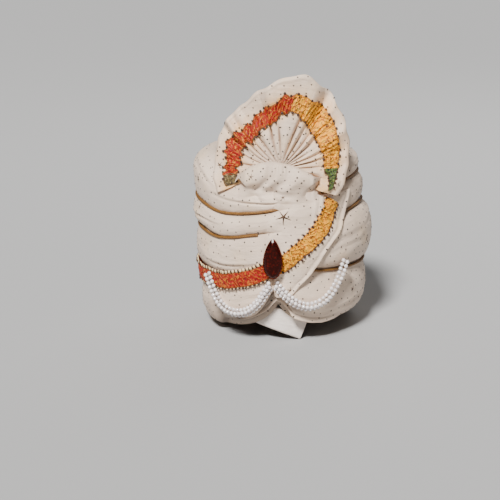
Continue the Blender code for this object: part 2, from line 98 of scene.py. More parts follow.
def curve(rows: tuple, column: int, at: Array, closed: bool = False) -> Array:
    """Reads a column of a table at places along its first column, joined by smooth curves.

    Args:
        rows: The table; its first column rises.
        column: The column to read.
        at: Places along the first column.
        closed: Whether the last row is the first again.

    Returns:
        The column's value at each place.
    """
    x = np.array([row[0] for row in rows])
    y = np.array([row[column] for row in rows])
    at = np.clip(np.asarray(at, dtype=float), x[0], x[-1])
    slope = np.empty_like(y)
    slope[1:-1] = (y[2:] - y[:-2]) / (x[2:] - x[:-2])
    slope[0] = (y[1] - y[0]) / (x[1] - x[0])
    slope[-1] = (y[-1] - y[-2]) / (x[-1] - x[-2])
    if closed:
        slope[0] = slope[-1] = (y[1] - y[-2]) / (x[1] - x[0] + x[-1] - x[-2])
    i = np.clip(np.searchsorted(x, at, side="right") - 1, 0, len(x) - 2)
    span = x[i + 1] - x[i]
    t = (at - x[i]) / span
    return ((2 * t**3 - 3 * t**2 + 1) * y[i] + (t**3 - 2 * t**2 + t) * slope[i] * span
            + (3 * t**2 - 2 * t**3) * y[i + 1] + (t**3 - t**2) * slope[i + 1] * span)


def ease(value: Array, low: float, high: float) -> Array:
    """Rises smoothly from 0 at low to 1 at high."""
    t = np.clip((value - low) / (high - low), 0.0, 1.0)
    return t * t * (3 - 2 * t)


def bump(value: Array, centre: Array, width: float) -> Array:
    """A soft ridge of height 1 about a centre."""
    return np.exp(-((value - centre) / width) ** 2)


def ridges(value: Array, rows: tuple) -> Array:
    """Adds up soft ridges, each given by its depth, centre and width."""
    return sum(depth * bump(value, centre, width) for depth, centre, width in rows)


def run_along(line: Array) -> Array:
    """Distance along a line of points, from its first one."""
    return np.r_[0, np.cumsum(np.linalg.norm(np.diff(line, axis=0), axis=1))]


def drift(x: Array, y: Array, z: Array, seed: int) -> Array:
    """Smooth noise between -1 and 1 with about one swell for each unit of length.

    Args:
        x, y, z: Coordinates in swells.
        seed: Which noise.

    Returns:
        The noise at each point.
    """
    x, y, z = np.broadcast_arrays(x, y, z)
    cells = [np.floor(c).astype(np.int64) for c in (x, y, z)]
    parts = [c - i for c, i in zip((x, y, z), cells)]
    parts = [t * t * (3 - 2 * t) for t in parts]
    total = np.zeros(x.shape)
    for corner in range(8):
        bits = [(corner >> k) & 1 for k in range(3)]
        n = sum((cell + bit) * prime for cell, bit, prime in zip(cells, bits, (73856093, 19349663, 83492791)))
        n = (n + seed * 2654435) & 0xFFFFFFF
        n = ((n ^ (n >> 11)) * 1103515 + 12345) & 0xFFFFFFF
        n = ((n ^ (n >> 9)) * 69069 + 1) & 0xFFFFFFF
        weight = np.ones(x.shape)
        for part, bit in zip(parts, bits):
            weight = weight * (part if bit else 1 - part)
        total += weight * ((n & 0xFFFF) / 32767.5 - 1)
    return total


# Meshes

def deselect() -> None:
    """Leaves nothing selected, so that an operator acts on its own piece alone."""
    for item in bpy.context.selected_objects:
        item.select_set(False)


def reshape(name: str, points: Array, uv: Array, **marks: Array) -> bpy.types.Object:
    """Makes a grid and moves its vertices to a lattice of points.

    Args:
        name: The piece's name.
        points: Lattice of places, across by along by 3.
        uv: Lattice of UV places in metres.
        **marks: Shares that the finish reads: dye run into the cloth, and painted shade in its creases,
                 recesses and grooves.

    Returns:
        The piece.
    """
    deselect()
    n, m = points.shape[:2]
    bpy.ops.mesh.primitive_grid_add(x_subdivisions=m - 1, y_subdivisions=n - 1, calc_uvs=False)
    piece = bpy.context.object
    piece.name = piece.data.name = name
    mesh = piece.data
    mesh.vertices.foreach_set("co", points.reshape(-1).astype(np.float32))
    corners = np.empty(len(mesh.loops), dtype=np.int32)
    mesh.loops.foreach_get("vertex_index", corners)
    layer = mesh.uv_layers.new(name="cloth")
    layer.data.foreach_set("uv", uv.reshape(-1, 2)[corners].reshape(-1).astype(np.float32))
    for mark, values in marks.items():
        values = np.broadcast_to(values, points.shape[:2]).reshape(-1).astype(np.float32)
        mesh.attributes.new(mark, "FLOAT", "POINT").data.foreach_set("value", values)
    mesh.update()
    mesh.shade_smooth()
    return piece


def close_up(piece: bpy.types.Object) -> None:
    """Welds a piece's seams, fills its open ends and turns its faces outward.

    Args:
        piece: The piece.
    """
    shape = bmesh.new()
    shape.from_mesh(piece.data)
    bmesh.ops.remove_doubles(shape, verts=shape.verts, dist=WELD)
    bmesh.ops.holes_fill(shape, edges=[e for e in shape.edges if e.is_boundary], sides=500)
    bmesh.ops.recalc_face_normals(shape, faces=shape.faces)
    shape.to_mesh(piece.data)
    shape.free()
    piece.data.shade_smooth()


def looped(lattice: Array) -> Array:
    """Repeats a lattice's first row and column after its last, so that it closes both ways."""
    lattice = np.concatenate([lattice, lattice[:1]], axis=0)
    return np.concatenate([lattice, lattice[:, :1]], axis=1)


def thicken(piece: bpy.types.Object, wall: float) -> None:
    """Gives a sheet its thickness, behind its surface.

    Args:
        piece: The sheet.
        wall: Thickness.
    """
    deselect()
    bpy.context.view_layer.objects.active = piece
    piece.select_set(True)
    solid = piece.modifiers.new("wall", "SOLIDIFY")
    solid.thickness = wall
    solid.offset = -1.0
    bpy.ops.object.modifier_apply(modifier="wall")


def joined(name: str, unit: bpy.types.Object, places: list[Matrix]) -> bpy.types.Object:
    """Copies a small unit's mesh to many places as one piece, and removes the unit.

    Args:
        name: The piece's name.
        unit: The unit, modelled once.
        places: One matrix for each copy.

    Returns:
        The piece.
    """
    source = unit.data
    co = np.empty(len(source.vertices) * 3)
    source.vertices.foreach_get("co", co)
    co = np.c_[co.reshape(-1, 3), np.ones(len(source.vertices))]
    faces = [tuple(f.vertices) for f in source.polygons]
    spots = np.array([np.array(m) for m in places])
    points = np.einsum("pij,vj->pvi", spots, co)[:, :, :3].reshape(-1, 3)
    count = len(source.vertices)
    every = [tuple(v + k * count for v in face) for k in range(len(places)) for face in faces]
    mesh = bpy.data.meshes.new(name)
    mesh.from_pydata(points.tolist(), [], every)
    mesh.shade_smooth()
    piece = bpy.data.objects.new(name, mesh)
    bpy.context.collection.objects.link(piece)
    bpy.data.objects.remove(unit)
    return piece


def seat(place: Vector, normal: Vector, along: Vector, size: float = 1.0) -> Matrix:
    """The matrix that stands a unit's +Z along a normal, with its +X near a direction."""
    z = normal.normalized()
    x = (along - z * along.dot(z)).normalized()
    y = z.cross(x)
    return Matrix.Translation(place) @ Matrix((x, y, z)).transposed().to_4x4() @ Matrix.Scale(size, 4)


def face_toward(piece: bpy.types.Object, way: Vector | None = None) -> None:
    """Turns an open sheet's faces toward a direction.

    Args:
        piece: The sheet.
        way: The direction, or None for away from the turban's axis.
    """
    mesh = piece.data
    face = mesh.polygons[len(mesh.polygons) // 2]
    if way is None:
        way = Vector((face.center.x, face.center.y, 0))
    if face.normal.dot(way) < 0:
        mesh.flip_normals()


# Finishes

class Nodes:
    """Short ways to add shader nodes to one material."""

    def __init__(self, name: str) -> None:
        """Starts a material with an empty surface.

        Args:
            name: The material's name.
        """
        self.material = bpy.data.materials.new(name)
        self.material.use_nodes = True
        self.tree = self.material.node_tree
        self.shader = self.tree.nodes["Principled BSDF"]

    def add(self, kind: str, inputs: dict | None = None, **settings: object) -> bpy.types.Node:
        """Adds a node.

        Args:
            kind: The node's type, without its prefix.
            inputs: Sockets to set or link, by name or number.
            **settings: Properties of the node.

        Returns:
            The node.
        """
        node = self.tree.nodes.new("ShaderNode" + kind)
        for key, value in settings.items():
            setattr(node, key, value)
        for key, value in (inputs or {}).items():
            self.put(node.inputs[key], value)
        return node

    def put(self, socket: bpy.types.NodeSocket, value: object) -> None:
        """Links an output to a socket, or sets the socket's value."""
        if isinstance(value, bpy.types.NodeSocket):
            self.tree.links.new(value, socket)
        else:
            socket.default_value = value

    def surface(self, sockets: dict) -> bpy.types.Material:
        """Links or sets the surface shader's own sockets.

        Args:
            sockets: What each socket gets, by its name.

        Returns:
            The finished material.
        """
        for name, value in sockets.items():
            self.put(self.shader.inputs[name], value)
        return self.material

    def ramp(self, value: bpy.types.NodeSocket, stops: tuple) -> bpy.types.NodeSocket:
        """A colour ramp.

        Args:
            value: What drives it.
            stops: Pairs of place and colour.

        Returns:
            The ramp's colour.
        """
        node = self.add("ValToRGB", {0: value})
        ends = node.color_ramp.elements
        for place, colour in stops[2:]:
            ends.new(place)
        for end, (place, colour) in zip(ends, sorted(stops)):
            end.position = place
            end.color = (*colour, 1.0)
        return node.outputs["Color"]

    def rise(self, value: bpy.types.NodeSocket, low: float, high: float,
             top: float = 1.0) -> bpy.types.NodeSocket:
        """A share that rises from 0 at low to a top share at high."""
        return self.ramp(value, ((low, (0, 0, 0)), (high, (top, top, top))))

    def maths(self, operation: str, a: object, b: object = 0.5) -> bpy.types.NodeSocket:
        """One sum on one or two values."""
        return self.add("Math", {0: a, 1: b}, operation=operation).outputs[0]

    def mix(self, share: object, a: object, b: object) -> bpy.types.NodeSocket:
        """A colour between two, by a share."""
        return self.add("Mix", {0: share, 6: a, 7: b}, data_type="RGBA").outputs[2]

    def uv(self) -> bpy.types.NodeSocket:
        """The piece's own UV map, in metres along the cloth."""
        return self.add("UVMap", uv_map="cloth").outputs[0]

    def place(self) -> bpy.types.NodeSocket:
        """Object coordinates."""
        return self.add("TexCoord").outputs["Object"]

    def mark(self, name: str) -> bpy.types.NodeSocket:
        """A share painted on the piece's points."""
        return self.add("Attribute", attribute_name=name).outputs["Fac"]

    def stretched(self, vector: bpy.types.NodeSocket, scale: tuple) -> bpy.types.NodeSocket:
        """Coordinates with a scale for each axis."""
        return self.add("Mapping", {"Vector": vector, "Scale": scale}).outputs[0]

    def noise(self, vector: bpy.types.NodeSocket, scale: float, detail: float = 3.0) -> bpy.types.NodeSocket:
        """Noise, in swells for each metre."""
        return self.add("TexNoise", {"Vector": vector, "Scale": scale, "Detail": detail}).outputs[0]

    def relief(self, *layers: tuple) -> bpy.types.NodeSocket:
        """Bumps laid over each other.

        Args:
            *layers: The height and the depth in metres of each, from the lowest.

        Returns:
            The normal.
        """
        normal = None
        for height, depth in layers:
            node = self.add("Bump", {"Height": height, "Strength": 1.0, "Distance": depth})
            if normal is not None:
                self.put(node.inputs["Normal"], normal)
            normal = node.outputs[0]
        return normal


@dataclass(frozen=True)
class Silk:
    """Cream slub silk with a soft sheen; its weave and slubs follow the cloth's UV map."""

    name: str = "cream_silk"
    light: tuple = (0.86, 0.675, 0.53)
    shade: tuple = (0.74, 0.565, 0.43)
    warm: tuple = (0.86, 0.61, 0.36)
    thread: float = 0.00075
    sheen: float = 0.04
    roughness: float = 0.52
    dye: tuple = (0.86, 0.47, 0.15)
    # colour that the painted shade darkens the cloth towards
    shade_colour: tuple = (0.12, 0.085, 0.068)
    streak: tuple = (0.93, 0.92, 0.9)
    # slubs and creases for each metre of warp, weft
    slub: tuple = (60.0, 900.0, 1.0)
    crease: tuple = (70.0, 150.0, 1.0)

    def make(self) -> bpy.types.Material:
        """Builds the material.

        Returns:
            The material.
        """
        n = Nodes(self.name)
        uv, place = n.uv(), n.place()
        slub = n.noise(n.stretched(uv, self.slub), 1.0, 2.0)
        tone = n.ramp(n.noise(place, 16.0, 2.0), ((0.3, self.shade), (0.62, self.light)))
        tone = n.mix(n.rise(n.noise(place, 27.0, 1.0), 0.55, 0.8, 0.5), tone, (*self.warm, 1.0))
        streak = n.ramp(slub, ((0.35, self.streak), (0.65, (1, 1, 1))))
        colour = n.add("Mix", {0: 1.0, 6: tone, 7: streak}, data_type="RGBA",
                       blend_type="MULTIPLY").outputs[2]
        patches = n.rise(n.noise(place, 90.0, 3.0), 0.25, 0.55)
        colour = n.mix(n.maths("MULTIPLY", n.mark("tint"), patches), colour, (*self.dye, 1.0))
        # painted shade: the shade mark darkens the cloth in its creases, recesses and grooves
        colour = n.mix(n.mark("hollow"), colour, (*self.shade_colour, 1.0))
        turns = 2 * math.pi / self.thread
        split = n.add("SeparateXYZ", {0: uv})
        warp, weft = (n.maths("SINE", n.maths("MULTIPLY", split.outputs[k], turns)) for k in (0, 1))
        weave = n.maths("MULTIPLY", warp, weft)
        crease = n.noise(n.stretched(uv, self.crease), 1.0, 4.0)
        return n.surface({
            "Base Color": colour,
            "Roughness": n.maths("ADD", n.maths("MULTIPLY", slub, 0.16), self.roughness - 0.08),
            "Sheen Weight": self.sheen,
            "Sheen Roughness": 0.4,
            "Sheen Tint": (1.0, 0.95, 0.88, 1.0),
            "Specular IOR Level": 0.42,
            "Normal": n.relief((weave, 0.00006), (slub, 0.00012), (crease, 0.0011))})


@dataclass(frozen=True)
class Braid:
    """Crinkled braid: a ground, paler ribbons, fine metallic thread and a darker selvedge, with painted shade
    in its folds, painted highlight on its raised ribbons and painted glints.
    """

    name: str
    ground: tuple
    deep: tuple
    pale: tuple
    thread: tuple
    selvedge: tuple
    thread_share: float = 0.86
    half_width: float = 0.011
    wander: float = 0.0045
    # ribbons and painted glints for each metre along, across
    ribbon: tuple = (460.0, 190.0, 1.0)
    painted_glint: tuple = (900.0, 380.0, 1.0)

    def make(self) -> bpy.types.Material:
        """Builds the material.

        Returns:
            The material.
        """
        n = Nodes(self.name)
        uv = n.uv()
        bend = n.add("TexNoise", {"Vector": uv, "Scale": 190.0, "Detail": 2.0}).outputs[1]
        shift = n.mix(self.wander, (0.0, 0.0, 0.0, 1.0), bend)
        warped = n.add("VectorMath", {0: uv, 1: shift}, operation="ADD").outputs[0]
        ribbon = n.noise(n.stretched(warped, self.ribbon), 1.0, 2.5)
        wave = n.add("TexWave", {"Vector": warped, "Scale": 78.0, "Distortion": 12.0, "Detail": 3.0,
                                 "Detail Scale": 1.8},
                     wave_type="BANDS", bands_direction="DIAGONAL").outputs[1]
        painted_glint = n.noise(n.stretched(warped, self.painted_glint), 1.0, 1.0)
        # painted shade and highlight: the noise that raises the bump also darkens the folds and lightens the
        # raised ribbons, over the braid's own colours
        stops = ((0.36, self.deep), (0.47, self.ground), (0.57, self.ground), (0.68, self.pale))
        tone = n.ramp(ribbon, stops)
        line = n.rise(wave, self.thread_share, self.thread_share + 0.08)
        tone = n.mix(line, tone, (*self.thread, 1.0))
        # painted glints: pale specks laid over the tone
        tone = n.mix(n.rise(painted_glint, 0.64, 0.72), tone, (*self.pale, 1.0))
        away = n.maths("ABSOLUTE", n.add("SeparateXYZ", {0: uv}).outputs[1])
        rough = n.maths("ADD", away, n.maths("MULTIPLY", ribbon, 0.004))
        edge = n.rise(n.maths("DIVIDE", rough, self.half_width + 0.002), 0.80, 0.97)
        return n.surface({
            "Base Color": n.mix(edge, tone, (*self.selvedge, 1.0)),
            "Metallic": 0.1,
            "Roughness": 0.5,
            "Specular IOR Level": 0.35,
            "Normal": n.relief((ribbon, 0.0018), (wave, 0.0005))})


@dataclass(frozen=True)
class Thread:
    """Twisted or knotted thread of one colour, with painted shade in the hollows of its grain."""

    name: str
    light: tuple
    # colour of the hollows, which carries painted shade
    dark: tuple
    roughness: float = 0.5
    metallic: float = 0.0
    pitch: float = 900.0

    def make(self) -> bpy.types.Material:
        """Builds the material.

        Returns:
            The material.
        """
        n = Nodes(self.name)
        grain = n.noise(n.place(), self.pitch, 2.0)
        # painted shade: the ramp darkens the thread where its bump is low
        return n.surface({
            "Base Color": n.ramp(grain, ((0.35, self.dark), (0.6, self.light))),
            "Roughness": self.roughness,
            "Metallic": self.metallic,
            "Normal": n.relief((grain, 0.0003))})


@dataclass(frozen=True)
class Pearl:
    """Bright pearl with a clear coat and slightly uneven lustre."""

    name: str = "pearl"
    body: tuple = (0.90, 0.84, 0.81)
    blush: tuple = (0.64, 0.56, 0.54)

    def make(self) -> bpy.types.Material:
        """Builds the material.

        Returns:
            The material.
        """
        n = Nodes(self.name)
        cloud = n.noise(n.place(), 220.0, 2.0)
        return n.surface({
            "Base Color": n.ramp(cloud, ((0.35, self.blush), (0.6, self.body))),
            "Roughness": 0.22,
            "Coat Weight": 0.8,
            "Coat Roughness": 0.08,
            "Subsurface Weight": 0.1,
            "Subsurface Radius": (0.002, 0.002, 0.002)})


@dataclass(frozen=True)
class CutGlass:
    """Dark red cut glass with brighter red flaws under a polished coat."""

    name: str = "garnet_glass"
    body: tuple = (0.011, 0.0008, 0.0007)
    spark: tuple = (0.085, 0.004, 0.002)

    def make(self) -> bpy.types.Material:
        """Builds the material.

        Returns:
            The material.
        """
        n = Nodes(self.name)
        flaw = n.noise(n.place(), 420.0, 4.0)
        return n.surface({
            "Base Color": n.ramp(flaw, ((0.50, self.body), (0.72, self.spark))),
            "Roughness": 0.30,
            "IOR": 1.5,
            "Specular IOR Level": 0.3,
            "Specular Tint": (1.0, 0.45, 0.35, 1.0)})


@dataclass(frozen=True)
class Metal:
    """Dull red-gold metal, slightly worn."""

    name: str = "brooch_metal"
    colour: tuple = (0.10, 0.012, 0.006)
    worn: tuple = (0.42, 0.10, 0.03)

    def make(self) -> bpy.types.Material:
        """Builds the material.

        Returns:
            The material.
        """
        n = Nodes(self.name)
        wear = n.noise(n.place(), 500.0, 3.0)
        return n.surface({
            "Base Color": n.ramp(wear, ((0.52, self.colour), (0.72, self.worn))),
            "Metallic": 0.9,
            "Roughness": n.maths("MULTIPLY", wear, 0.6)})


class Colour(Enum):
    """The braid's colourings."""

    # ground, deep folds (own colour with painted shade), pale ribbons (own colour with painted highlight),
    # metallic thread, selvedge
    RED = Braid("red_braid", (0.34, 0.007, 0.002), (0.10, 0.004, 0.002), (0.46, 0.055, 0.012),
                (0.56, 0.18, 0.014), (0.26, 0.085, 0.012))
    GOLD = Braid("gold_braid", (0.88, 0.35, 0.006), (0.46, 0.10, 0.004), (0.95, 0.56, 0.05),
                 (0.10, 0.028, 0.005), (0.58, 0.21, 0.014))
    GREEN = Braid("green_braid", (0.075, 0.13, 0.025), (0.012, 0.018, 0.035), (0.34, 0.30, 0.10),
                  (0.04, 0.03, 0.012), (0.10, 0.05, 0.02))
    OLIVE = Braid("olive_braid", (0.16, 0.11, 0.04), (0.05, 0.025, 0.012), (0.42, 0.30, 0.12),
                  (0.03, 0.016, 0.01), (0.12, 0.05, 0.02))

    @property
    def slot(self) -> str:
        """The record's slot for this colouring."""
        return "green_braid" if self is Colour.OLIVE else self.value.name


class Finishes:
    """All the finishes of the turban, each made once."""

    def __init__(self) -> None:
        """Builds the materials."""
        self.silk = Silk().make()
        self.band = Silk("plain_cotton", light=(0.86, 0.76, 0.69), shade=(0.78, 0.69, 0.62),
                         warm=(0.80, 0.71, 0.62), thread=0.0009, sheen=0.02, roughness=0.7).make()
        self.braid = {colour: colour.value.make() for colour in Colour}
        self.piping = Thread("piping_thread", (0.30, 0.135, 0.022), (0.045, 0.014, 0.004),
                             metallic=0.1, pitch=1300.0).make()
        self.dark = Thread("dark_knot", (0.07, 0.022, 0.008), (0.012, 0.005, 0.003), roughness=0.6).make()
        self.cream = Thread("cream_loop", (0.90, 0.72, 0.44), (0.62, 0.38, 0.14)).make()
        self.motif = Thread("motif_thread", (0.045, 0.030, 0.022), (0.015, 0.010, 0.009),
                            roughness=0.55).make()
        self.star = Thread("star_thread", (0.11, 0.05, 0.018), (0.03, 0.016, 0.010), metallic=0.1).make()
        self.pearl = Pearl().make()
        self.glass = CutGlass().make()
        self.metal = Metal().make()


def dress(piece: bpy.types.Object, material: bpy.types.Material) -> bpy.types.Object:
    """Gives a piece its finish and its place on the turban.

    Args:
        piece: The piece.
        material: Its finish.

    Returns:
        The piece.
    """
    piece.data.materials.clear()
    piece.data.materials.append(material)
    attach(piece, "root")
    LOG.info("%s: %d faces", piece.name, len(piece.data.polygons))
    return piece


# The turban's form, which every cloth piece follows

@dataclass
class BodyForm:
    """The wound body's sizes and the skin that the other pieces lie on."""

    width: float = 0.240
    depth: float = 0.270
    height: float = 0.222
    groove: float = 0.008
    hem_tuck: float = 0.024
    ridge_tuck: float = 0.030
    notch_rise: float = 0.033
    notch_turn: float = 4.0
    notch_spread: float = 14.0
    fullness: float = 2.2
    head_width: float = 0.160
    head_depth: float = 0.195
    wall_gap: float = 0.0023
    names: tuple = ("wrap_base", "wrap_lower", "wrap_upper", "wrap_top")
    # left, front, right, back
    wraps: tuple = (
        (0.912, 0.933, 0.928, 0.950),
        (0.967, 0.985, 0.990, 1.000),
        (1.000, 0.970, 0.885, 0.970),
        (1.000, 0.930, 0.830, 0.900),
    )
    # turn, hem, lower groove, middle groove, upper groove, ridge
    levels: tuple = (
        (-180.0, -0.036, 0.360, 0.658, 0.847, 1.027),
        (-135.0, -0.020, 0.365, 0.640, 0.820, 1.070),
        (-90.0, -0.005, 0.362, 0.626, 0.797, 1.080),
        (-62.0, 0.030, 0.375, 0.640, 0.790, 1.060),
        (-36.0, 0.055, 0.395, 0.629, 0.763, 0.965),
        (-10.0, 0.072, 0.440, 0.672, 0.788, 0.945),
        (15.0, 0.080, 0.478, 0.712, 0.838, 0.945),
        (36.0, 0.085, 0.452, 0.728, 0.890, 0.965),
        (62.0, 0.105, 0.437, 0.763, 0.940, 1.030),
        (90.0, 0.095, 0.420, 0.765, 0.940, 1.060),
        (135.0, 0.020, 0.385, 0.705, 0.895, 1.063),
        (180.0, -0.036, 0.360, 0.658, 0.847, 1.027),
    )

    def level(self, index: int, turn: Array) -> Array:
        """Height of the boundary under a wrap, or of the ridge after the last one."""
        height = curve(self.levels, index + 1, (turn + 180) % 360 - 180, True) * self.height
        if index == 0:
            away = np.abs((turn - self.notch_turn + 180) % 360 - 180)
            height = height + self.notch_rise * np.exp(-away / self.notch_spread)
        return height

    def reach(self, index: int, turn: Array) -> Array:
        """How far a wrap reaches along X and Y at its fullest, as two rows."""
        left, front, right, back = self.wraps[index]
        a = np.radians(turn)
        across = np.where(np.sin(a) > 0, right, left) * self.width / 2
        along = np.where(np.cos(a) > 0, front, back) * self.depth / 2
        return np.array([across, along])

    def size(self, index: int, turn: Array) -> Array:
        """A wrap's distance from the axis at its fullest."""
        a = np.radians(turn)
        across, along = self.reach(index, turn)
        return np.hypot(across * np.sin(a), along * np.cos(a))

    def drawn(self, index: int, turn: Array, height: Array) -> Array:
        """How far inside its fullest reach a wrap's outer side lies at a height."""
        own = self.size(index, turn)
        last = len(self.wraps) - 1
        if index:
            low = own - np.minimum(own, self.size(index - 1, turn)) + self.groove
        else:
            low = self.hem_tuck
        if index < last:
            high = own - np.minimum(own, self.size(index + 1, turn)) + self.groove
        else:
            high = self.ridge_tuck
        foot, top = self.level(index, turn), self.level(index + 1, turn)
        place = np.clip(2 * (height - foot) / (top - foot) - 1, -1, 1)
        power = self.fullness
        return np.where(place < 0, low, high) * (1 - (1 - np.abs(place) ** power) ** (1 / power))

    def skin(self, turn: Array, height: Array, offset: Array = 0.0, span: Array = 1.0) -> Array:
        """Points on the body's skin.

        Args:
            turn: Turns in degrees.
            height: Heights.
            offset: How far outside the skin.
            span: 1 to bridge the grooves, 0 to follow them.

        Returns:
            The points, with a last axis of 3.
        """
        turn, height = np.broadcast_arrays(np.asarray(turn, float), np.asarray(height, float))
        levels = [self.level(k, turn) for k in range(5)]
        own = self.reach(0, turn) - self.drawn(0, turn, height)
        for k in range(1, 4):
            own = np.where(height >= levels[k], self.reach(k, turn) - self.drawn(k, turn, height), own)
        bridged = own.copy()
        middles = [(levels[k] + levels[k + 1]) / 2 for k in range(4)]
        for k in range(3):
            share = (height - middles[k]) / (middles[k + 1] - middles[k])
            inside = (share >= 0) & (share <= 1)
            share = ease(share, 0, 1)
            bridge = self.reach(k, turn) * (1 - share) + self.reach(k + 1, turn) * share
            bridged = np.where(inside, np.maximum(own, bridge), bridged)
        reach = own + (bridged - own) * span + offset
        a = np.radians(turn)
        return np.stack([reach[0] * np.sin(a), -reach[1] * np.cos(a), height], axis=-1)

    def wall(self, turn: Array, height: Array, inset: float = 0.0) -> Array:
        """Points on the wound wall's inner face."""
        a = np.radians(turn)
        across = self.head_width / 2 + self.wall_gap - inset
        along = self.head_depth / 2 + self.wall_gap - inset
        return np.stack(np.broadcast_arrays(across * np.sin(a), -along * np.cos(a), height), axis=-1)


class Surface:
    """The outside of some finished pieces, to lay others on."""

    def __init__(self, pieces: list[bpy.types.Object]) -> None:
        """Gathers the pieces' faces, in their order.

        Args:
            pieces: The pieces.
        """
        verts, faces = [], []
        for piece in pieces:
            start = len(verts)
            verts += [tuple(v.co) for v in piece.data.vertices]
            faces += [tuple(i + start for i in f.vertices) for f in piece.data.polygons]
        self.tree = BVHTree.FromPolygons(verts, faces)

    def front(self, x: float, z: float, default: float) -> float:
        """How far back the surface lies, seen straight from the front."""
        spot = self.tree.ray_cast(Vector((x, -LOOK_FROM, z)), Vector((0, 1, 0)))[0]
        return default if spot is None else spot.y

    def around(self, points: Array, stand: float) -> Array:
        """Moves a lattice of points along level lines through the axis onto the surface.

        Args:
            points: The lattice.
            stand: How far outside the surface they end.

        Returns:
            The moved lattice.
        """
        flat = points.reshape(-1, 3).copy()
        for k, (x, y, z) in enumerate(flat):
            out = Vector((x, y, 0)).normalized()
            spot = self.tree.ray_cast(Vector((0, 0, z)) + out * LOOK_FROM, -out)[0]
            if spot is not None:
                flat[k] = spot + out * stand
        return flat.reshape(points.shape)


@dataclass
class SwagRoute:
    """Where one swag of beads hangs, which the cloth's edge follows too."""

    side: str
    under: float
    inner_first: bool
    # turn, height above the resting plane
    route: tuple
    bead: float = 0.0052
    gap: float = 0.0005
    spread: float = 0.0040
    cut: float = 0.7

    def line(self, body: BodyForm, strand: float, count: int) -> Array:
        """Points along one strand, on the body's skin.

        Args:
            body: The body's form.
            strand: 0 for the innermost strand, and so on outward.
            count: How many points.

        Returns:
            The points.
        """
        offset = strand * self.spread
        lift = math.sqrt((self.bead + self.gap) ** 2 - self.spread**2) * (strand % 2 == 1)
        ends = [self.route[0][0], self.route[-1][0]]
        if self.inner_first:
            ends[0] += self.cut * strand
        else:
            ends[1] -= self.cut * strand
        turn = np.linspace(ends[0], ends[1], count)
        height = curve(self.route, 1, turn)
        size = np.linalg.norm(body.skin(turn, height)[:, :2], axis=1)
        climb = curve(self.route, 1, turn + 0.5) - curve(self.route, 1, turn - 0.5)
        rise = climb / (size * math.radians(1.0))
        slope = np.arctan(rise)
        turn = turn + np.degrees(offset * np.sin(slope) / size)
        stand = self.gap + self.under + self.gap + self.bead / 2 + lift
        return body.skin(turn, height - offset * np.cos(slope), stand)


LEFT_SWAG = SwagRoute("left", 0.0009, False, (
    (-47.5, 0.086), (-43.0, 0.0655), (-36.0, 0.0505), (-26.5, 0.045),
    (-16.5, 0.0500), (-9.6, 0.0625), (-5.2, 0.076), (-1.5, 0.087)))
RIGHT_SWAG = SwagRoute("right", 0.002, True, (
    (4.2, 0.0885), (12.0, 0.0705), (21.0, 0.0595), (28.5, 0.059),
    (37.5, 0.069), (43.2, 0.087), (47.0, 0.111)))


